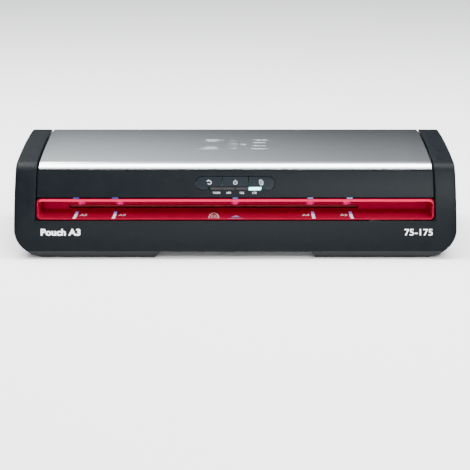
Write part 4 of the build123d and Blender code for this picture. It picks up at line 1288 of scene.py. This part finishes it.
class Marks:
    """Printed symbols and figures, and the raised emblem on the cover."""

    def __init__(self, finishes: Finishes, tray: TraySizes, buttons_z: float = 80.2) -> None:
        """Keeps the finishes and sizes."""
        self.finishes = finishes
        self.tray = tray
        self.symbol_z = buttons_z + 0.7
        self.button_step = 28.7
        self.window_step = 14.7
        self.bars = (-178.3, -135.0, 87.0, 129.4)
        self.bar_width = 3.3

    def build(self) -> None:
        """Makes all marks."""
        self.button_symbols()
        self.window_figures()
        self.tray_marks()
        self.front_figures()
        self.emblem()

    def button_symbols(self) -> None:
        """Reverse arrow, power sign and pouch sign on the three buttons."""
        ink = self.finishes.ink
        reverse = Mark().ribbon(arc_points(2.0, -150, 120, 18), 0.75)
        reverse.plate([(-2.5, 0.7), (-0.5, 2.9), (-1.1, 3.2), (-3.0, 2.0)])
        reverse.lay("mark_reverse", front_placer(-self.button_step, self.symbol_z), ink,
                    "window_grey", "reverse_button_body")
        power = Mark().ribbon(arc_points(2.0, 125, 415, 24), 0.7)
        power.ribbon([(0, 0.4), (0, 3.1)], 0.7)
        power.lay("mark_power", front_placer(0.0, self.symbol_z), ink,
                  "window_grey", "power_button_body")
        pouch = Mark().ribbon([(-2.0, 2.7), (0.6, 2.7), (2.0, 0.6), (1.6, -2.6), (-0.6, -2.6),
                               (-1.7, -0.6)], 0.6, closed=True)
        pouch.ribbon([(-0.5, 1.9), (1.0, -2.2)], 0.5)
        pouch.lay("mark_thickness", front_placer(self.button_step, self.symbol_z), ink,
                  "window_grey", "thickness_button_body")

    def window_figures(self) -> None:
        """Pouch thicknesses under the windows."""
        for index, text in enumerate(("75/80", "100", "125", "175")):
            x = (index - 1.5) * self.window_step + (1.2 if index == 0 else -0.9 if index == 3 else 0.0)
            mark = Mark().figures(text, 2.2, squeeze=1.25, bold=0.02)
            mark.lay(f"mark_figures_{index}", front_placer(x, 70.6), self.finishes.ink,
                     "window_grey")

    def floor(self, y: Array) -> Array:
        """Height of the tray's floor: flat, rising by half a cosine wave to the sill."""
        front = float(OUTLINE.front_y(self.tray.floor_z))
        share = np.clip((np.asarray(y) - front - self.tray.rise_start) / self.tray.rise, 0, 1)
        return self.tray.floor_z + self.tray.sill * (0.5 + 0.5 * np.cos(pi * share))

    def tray_marks(self) -> None:
        """Paper-size bars as strips of painted glow, their figures, the hot-surface sign and the feed
        arrow.
        """
        ink, blue = self.finishes.tray_ink, self.finishes.blue_ink
        white = self.finishes.bar_painted_glow
        names = ("A3", "A4", "A4", "A3")
        near = np.linspace(-80.3, -58.5, 12)
        far = np.linspace(-58.5, -48.5, 4)
        for index, (x, text) in enumerate(zip(self.bars, names)):
            # Near strips glow whitish and far strips blue: painted light on the tray's floor.
            Mark().ribbon(np.stack([0 * near, near], axis=1), self.bar_width).lay(
                f"mark_bar_near_{index}", floor_placer(x, 0, self.floor), white, "window_grey")
            Mark().ribbon(np.stack([0 * far, far], axis=1), self.bar_width).lay(
                f"mark_bar_far_{index}", floor_placer(x, 0, self.floor), self.finishes.bar_blue_painted_glow,
                "window_grey")
            inward = 8.3 if x < 0 else -8.3
            Mark().figures(text, 8.5, squeeze=0.62, bold=0.03).lay(
                f"mark_size_{index}", floor_placer(x + inward, -62.0, self.floor), ink,
                "window_grey")
        hot = Mark().ribbon([(-5.6, -13), (5.6, -13), (4.6, 3), (2.2, 9), (0, 12.5), (-2.2, 9),
                             (-4.6, 3)], 1.3, closed=True)
        hot.ribbon(arc_points(2.6, 0, 345, 24, (0, -2.5), 2.0), 0.8, closed=True)
        hot.ribbon([(-1.5, -3.5), (1.5, -1.5)], 1.0)
        hot.lay("mark_hot", floor_placer(-24.0, -65.0, self.floor), ink, "window_grey")
        arrow = Mark().plate([(-8.6, -15.0), (8.6, -15.0), (0.0, 1.5)])
        arrow.lay("mark_arrow", floor_placer(0.3, -65.0, self.floor), blue, "window_lit")
        core = Mark().plate([(-3.6, -10.5), (3.6, -10.5), (0.0, -3.0)], lift=0.04)
        core.lay("mark_arrow_core", floor_placer(0.3, -65.0, self.floor), self.finishes.deep_blue,
                 "window_lit")

    def front_figures(self) -> None:
        """Generic figures low on the front, left and right."""
        Mark().figures("Pouch A3", 7.6, squeeze=1.15, bold=0.035).lay(
            "mark_front_left", front_placer(-193.0, 29.6), self.finishes.front_ink, "window_grey")
        Mark().figures("75-175", 7.2, squeeze=1.13, bold=0.01).lay(
            "mark_front_right", front_placer(202.5, 29.6), self.finishes.front_ink, "window_grey")

    def emblem(self) -> None:
        """Raised pictogram on the cover: a sheet, two rollers and the finished pouch."""
        middle = OUTLINE.length_at(106.0) + 10.0
        mark = Mark(low=-0.3, high=0.12)
        mark.ribbon(rounded_frame(29, 34, 7, (-27.5, 0), lean=0.12), 1.3, closed=True)
        mark.ribbon(rounded_frame(19, 22, 4, (-27.5, 0), lean=0.12), 1.0, closed=True)
        for v in (-9.0, 9.0):
            mark.ribbon(arc_points(6.4, 0, 350, 36, (-2.0, v)), 1.3, closed=True)
        mark.ribbon([(6.5, 0), (12.5, 0)], 1.3)
        mark.ribbon(rounded_frame(27, 34, 7, (28.5, 0), lean=0.12), 1.3, closed=True)
        mark.ribbon([(20.5, -6), (34.5, -6)], 1.2).ribbon([(21.5, 6), (35.5, 6)], 1.2)

        def place(u: Array, v: Array, w: Array) -> Array:
            """Point on the cover's top."""
            return OUTLINE.place(u, middle + v, -w)

        mark.lay("emblem", place, self.finishes.silver, "silver_plastic", rim=0.05)


# ------------------------------------------------------------------ pieces of the frame
@dataclass(frozen=True)
class Dressed:
    """Frame node that is shown as a merged copy with rounded edges."""

    node: str
    name: str
    body: str
    rim: float
    angle: float = radians(30)


class FramePieces:
    """Pieces whose frame shape is right: rounded copies outside, plain nodes inside."""

    def __init__(self, finishes: Finishes) -> None:
        """Keeps the finishes and the record's slots."""
        self.finishes = finishes
        self.lift = 0.8
        self.slots = {part["node"]: part["material_slot"] for part in frame["record"]["subparts"]}

    def build(self) -> None:
        """Makes rounded copies of what shows and dresses the other nodes."""
        shown = [
            Dressed("base_pan", "pan_shell", "machine", 0.6),
            Dressed("reverse_button", "reverse_cap", "reverse_button_body", 0.45),
            Dressed("power_button", "power_cap", "power_button_body", 0.45),
            Dressed("thickness_button", "thickness_cap", "thickness_button_body", 0.45),
            Dressed("indicator_windows", "window_row", "machine", 0.2),
            Dressed("lit_indicator_window", "window_on", "machine", 0.2),
            Dressed("exit_guide", "exit_mouth", "machine", 0.5),
            Dressed("power_inlet", "mains_socket", "machine", 0.4),
            Dressed("rubber_feet", "feet", "machine", 0.3),
            Dressed("base_screws", "pan_screws", "machine", 0.3),
            Dressed("guide_light_lenses", "guide_lenses", "machine", 0.25),
        ]
        for item in shown:
            slot = self.slots[item.node]
            finish = self.finishes.for_slot(slot)
            if item.node == "guide_light_lenses":
                finish = self.finishes.guide_light
            make_piece(item.name, merged_copy(item.node), finish, item.body,
                       Trim(rim=item.rim, angle=item.angle), [item.node])
        done = {item.node for item in shown} | {"main_housing", "top_cover", "control_panel",
                                                "feed_tray"}
        done |= {self.springs(stage) for stage in ("hot", "cold")}
        for node, piece in frame["nodes"].items():
            if node in done:
                continue
            piece.data.materials.clear()
            piece.data.materials.append(self.finishes.for_slot(self.slots[node]))


    def springs(self, stage: str) -> str:
        """Pressure springs of one stage, as a merged copy of the frame node with a mesh of its own.

        Args:
            stage: hot or cold.

        Returns:
            The node that the piece replaces.
        """
        node = f"{stage}_pressure_springs"
        slot = self.slots[node]
        piece = make_piece(f"{stage}_springs", merged_copy(node), self.finishes.for_slot(slot),
                           "machine", Trim(rim=0.0), [node])
        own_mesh(piece)
        return node


# ------------------------------------------------------------------ studio
@dataclass(frozen=True)
class Softbox:
    """Rectangular studio light."""

    name: str
    place: tuple[float, float, float]
    target: tuple[float, float, float]
    size: Pair
    power: float
    colour: Colour = (1.0, 1.0, 1.0)

    def build(self) -> None:
        """Puts the light up, pointed at its target."""
        data = bpy.data.lights.new(self.name, "AREA")
        data.shape = "RECTANGLE"
        data.size, data.size_y = self.size
        data.energy = self.power
        data.color = self.colour
        lamp = bpy.data.objects.new(self.name, data)
        bpy.context.scene.collection.objects.link(lamp)
        lamp.location = self.place
        aim = np.array(self.target) - np.array(self.place)
        flat = hypot(aim[0], aim[1])
        lamp.rotation_euler = (atan2(flat, -aim[2]), 0.0, atan2(-aim[0], aim[1]))


class Studio:
    """Floor, lights, surroundings and camera."""

    def surroundings(self) -> None:
        """Soft grey world.

        Its strength rises with the direction's z by a smooth step, and is multiplied by a
        smooth step of x times y, so that it is brighter at the back left and front right.
        """
        world = bpy.data.worlds.new("surroundings")
        world.use_nodes = True
        graph = Graph(world.node_tree)
        background = world.node_tree.nodes["Background"]
        toward = graph.add("ShaderNodeTexCoord")
        parts = graph.add("ShaderNodeSeparateXYZ", {0: toward.outputs["Generated"]})
        rise = graph.add("ShaderNodeMapRange", {"Value": parts.outputs["Z"], "From Min": 0.1,
                                                "From Max": 0.95, "To Min": self.horizon,
                                                "To Max": self.zenith},
                         interpolation_type="SMOOTHSTEP")
        crossed = graph.add("ShaderNodeMath", {0: parts.outputs["X"], 1: parts.outputs["Y"]},
                            operation="MULTIPLY")
        across = graph.add("ShaderNodeMapRange", {"Value": crossed.outputs[0], "From Min": -0.12,
                                                  "From Max": 0.12, "To Min": self.bright_side,
                                                  "To Max": self.dim_side},
                           interpolation_type="SMOOTHSTEP")
        both = graph.add("ShaderNodeMath", {0: rise.outputs["Result"],
                                            1: across.outputs["Result"]}, operation="MULTIPLY")
        world.node_tree.links.new(both.outputs[0], background.inputs["Strength"])
        background.inputs["Color"].default_value = (0.95, 0.98, 1.0, 1.0)
        bpy.context.scene.world = world

    def __init__(self) -> None:
        """Sets the camera's sizes."""
        self.distance = 1.5215
        self.camera_height = 0.4666
        self.tilt = 15.22
        self.lens = 104.0
        self.shift = -0.092
        self.horizon, self.zenith = 0.12, 1.3
        self.bright_side, self.dim_side = 1.6, 0.55
        self.beams = (-174.5, -131.0, 0.0, 85.0, 126.5)
        self.beam_power = 0.3

    def build(self) -> None:
        """Makes the whole set."""
        size = 6.0
        floor_mesh = bpy.data.meshes.new("floor")
        floor_mesh.from_pydata([(-size, -size, 0), (size, -size, 0), (size, size, 0),
                                (-size, size, 0)], [], [(0, 1, 2, 3)])
        floor = bpy.data.objects.new("floor", floor_mesh)
        bpy.context.scene.collection.objects.link(floor)
        floor_mesh.materials.append(Moulded("pale floor", (0.9, 0.9, 0.9), (0.9, 0.9, 0.9),
                                            rough=(0.9, 0.95), depth=0.0, dust=0.0,
                                            specular=0.06).build())
        self.surroundings()
        for light in (
            Softbox("overhead_left", (-0.75, 0.72, 1.45), (-0.3, 0.1, 0.0), (0.9, 0.25), 14.0),
            Softbox("overhead", (0.0, 0.18, 1.6), (0.0, 0.18, 0.0), (2.8, 0.75), 110.0),
            Softbox("front right", (0.5, -1.35, 1.2), (0.15, -0.07, 0.08), (0.8, 0.5), 30.0),
            Softbox("front", (0.0, -2.3, 0.62), (0.0, -0.08, 0.05), (1.0, 0.32), 30.0),
        ):
            light.build()
        for index, x in enumerate(self.beams):
            beam = bpy.data.lights.new(f"guide_beam_{index}", "SPOT")
            beam.energy = self.beam_power
            beam.color = (0.35, 0.2, 1.0)
            beam.spot_size = radians(16)
            beam.spot_blend = 0.9
            beam.shadow_soft_size = 0.001
            lamp = bpy.data.objects.new(f"guide_beam_{index}", beam)
            bpy.context.scene.collection.objects.link(lamp)
            lamp.location = (x * MM, -66.0 * MM, 62.0 * MM)
            lamp.rotation_euler = (atan2(30.0, 12.5), 0.0, 0.0)
        data = bpy.data.cameras.new("camera")
        data.lens = self.lens
        data.sensor_width = 36.0
        data.shift_x = -0.0007
        data.shift_y = self.shift
        data.clip_end = 50.0
        camera = bpy.data.objects.new("camera", data)
        bpy.context.scene.collection.objects.link(camera)
        camera.location = (0.0, -self.distance, self.camera_height)
        camera.rotation_euler = (radians(90 - self.tilt), 0.0, 0.0)
        bpy.context.scene.camera = camera


def main() -> None:
    """Builds the sub-assemblies in order, then the studio."""
    logging.basicConfig(level=logging.INFO, format="%(name)s %(message)s")
    finishes = Finishes()
    Covers(CoverSizes(), finishes).build()
    Housing(HousingSizes(), finishes).build()
    FeedTray(TraySizes(), finishes).build()
    Marks(finishes, TraySizes()).build()
    FramePieces(finishes).build()
    Studio().build()


if __name__ == "__main__":
    main()
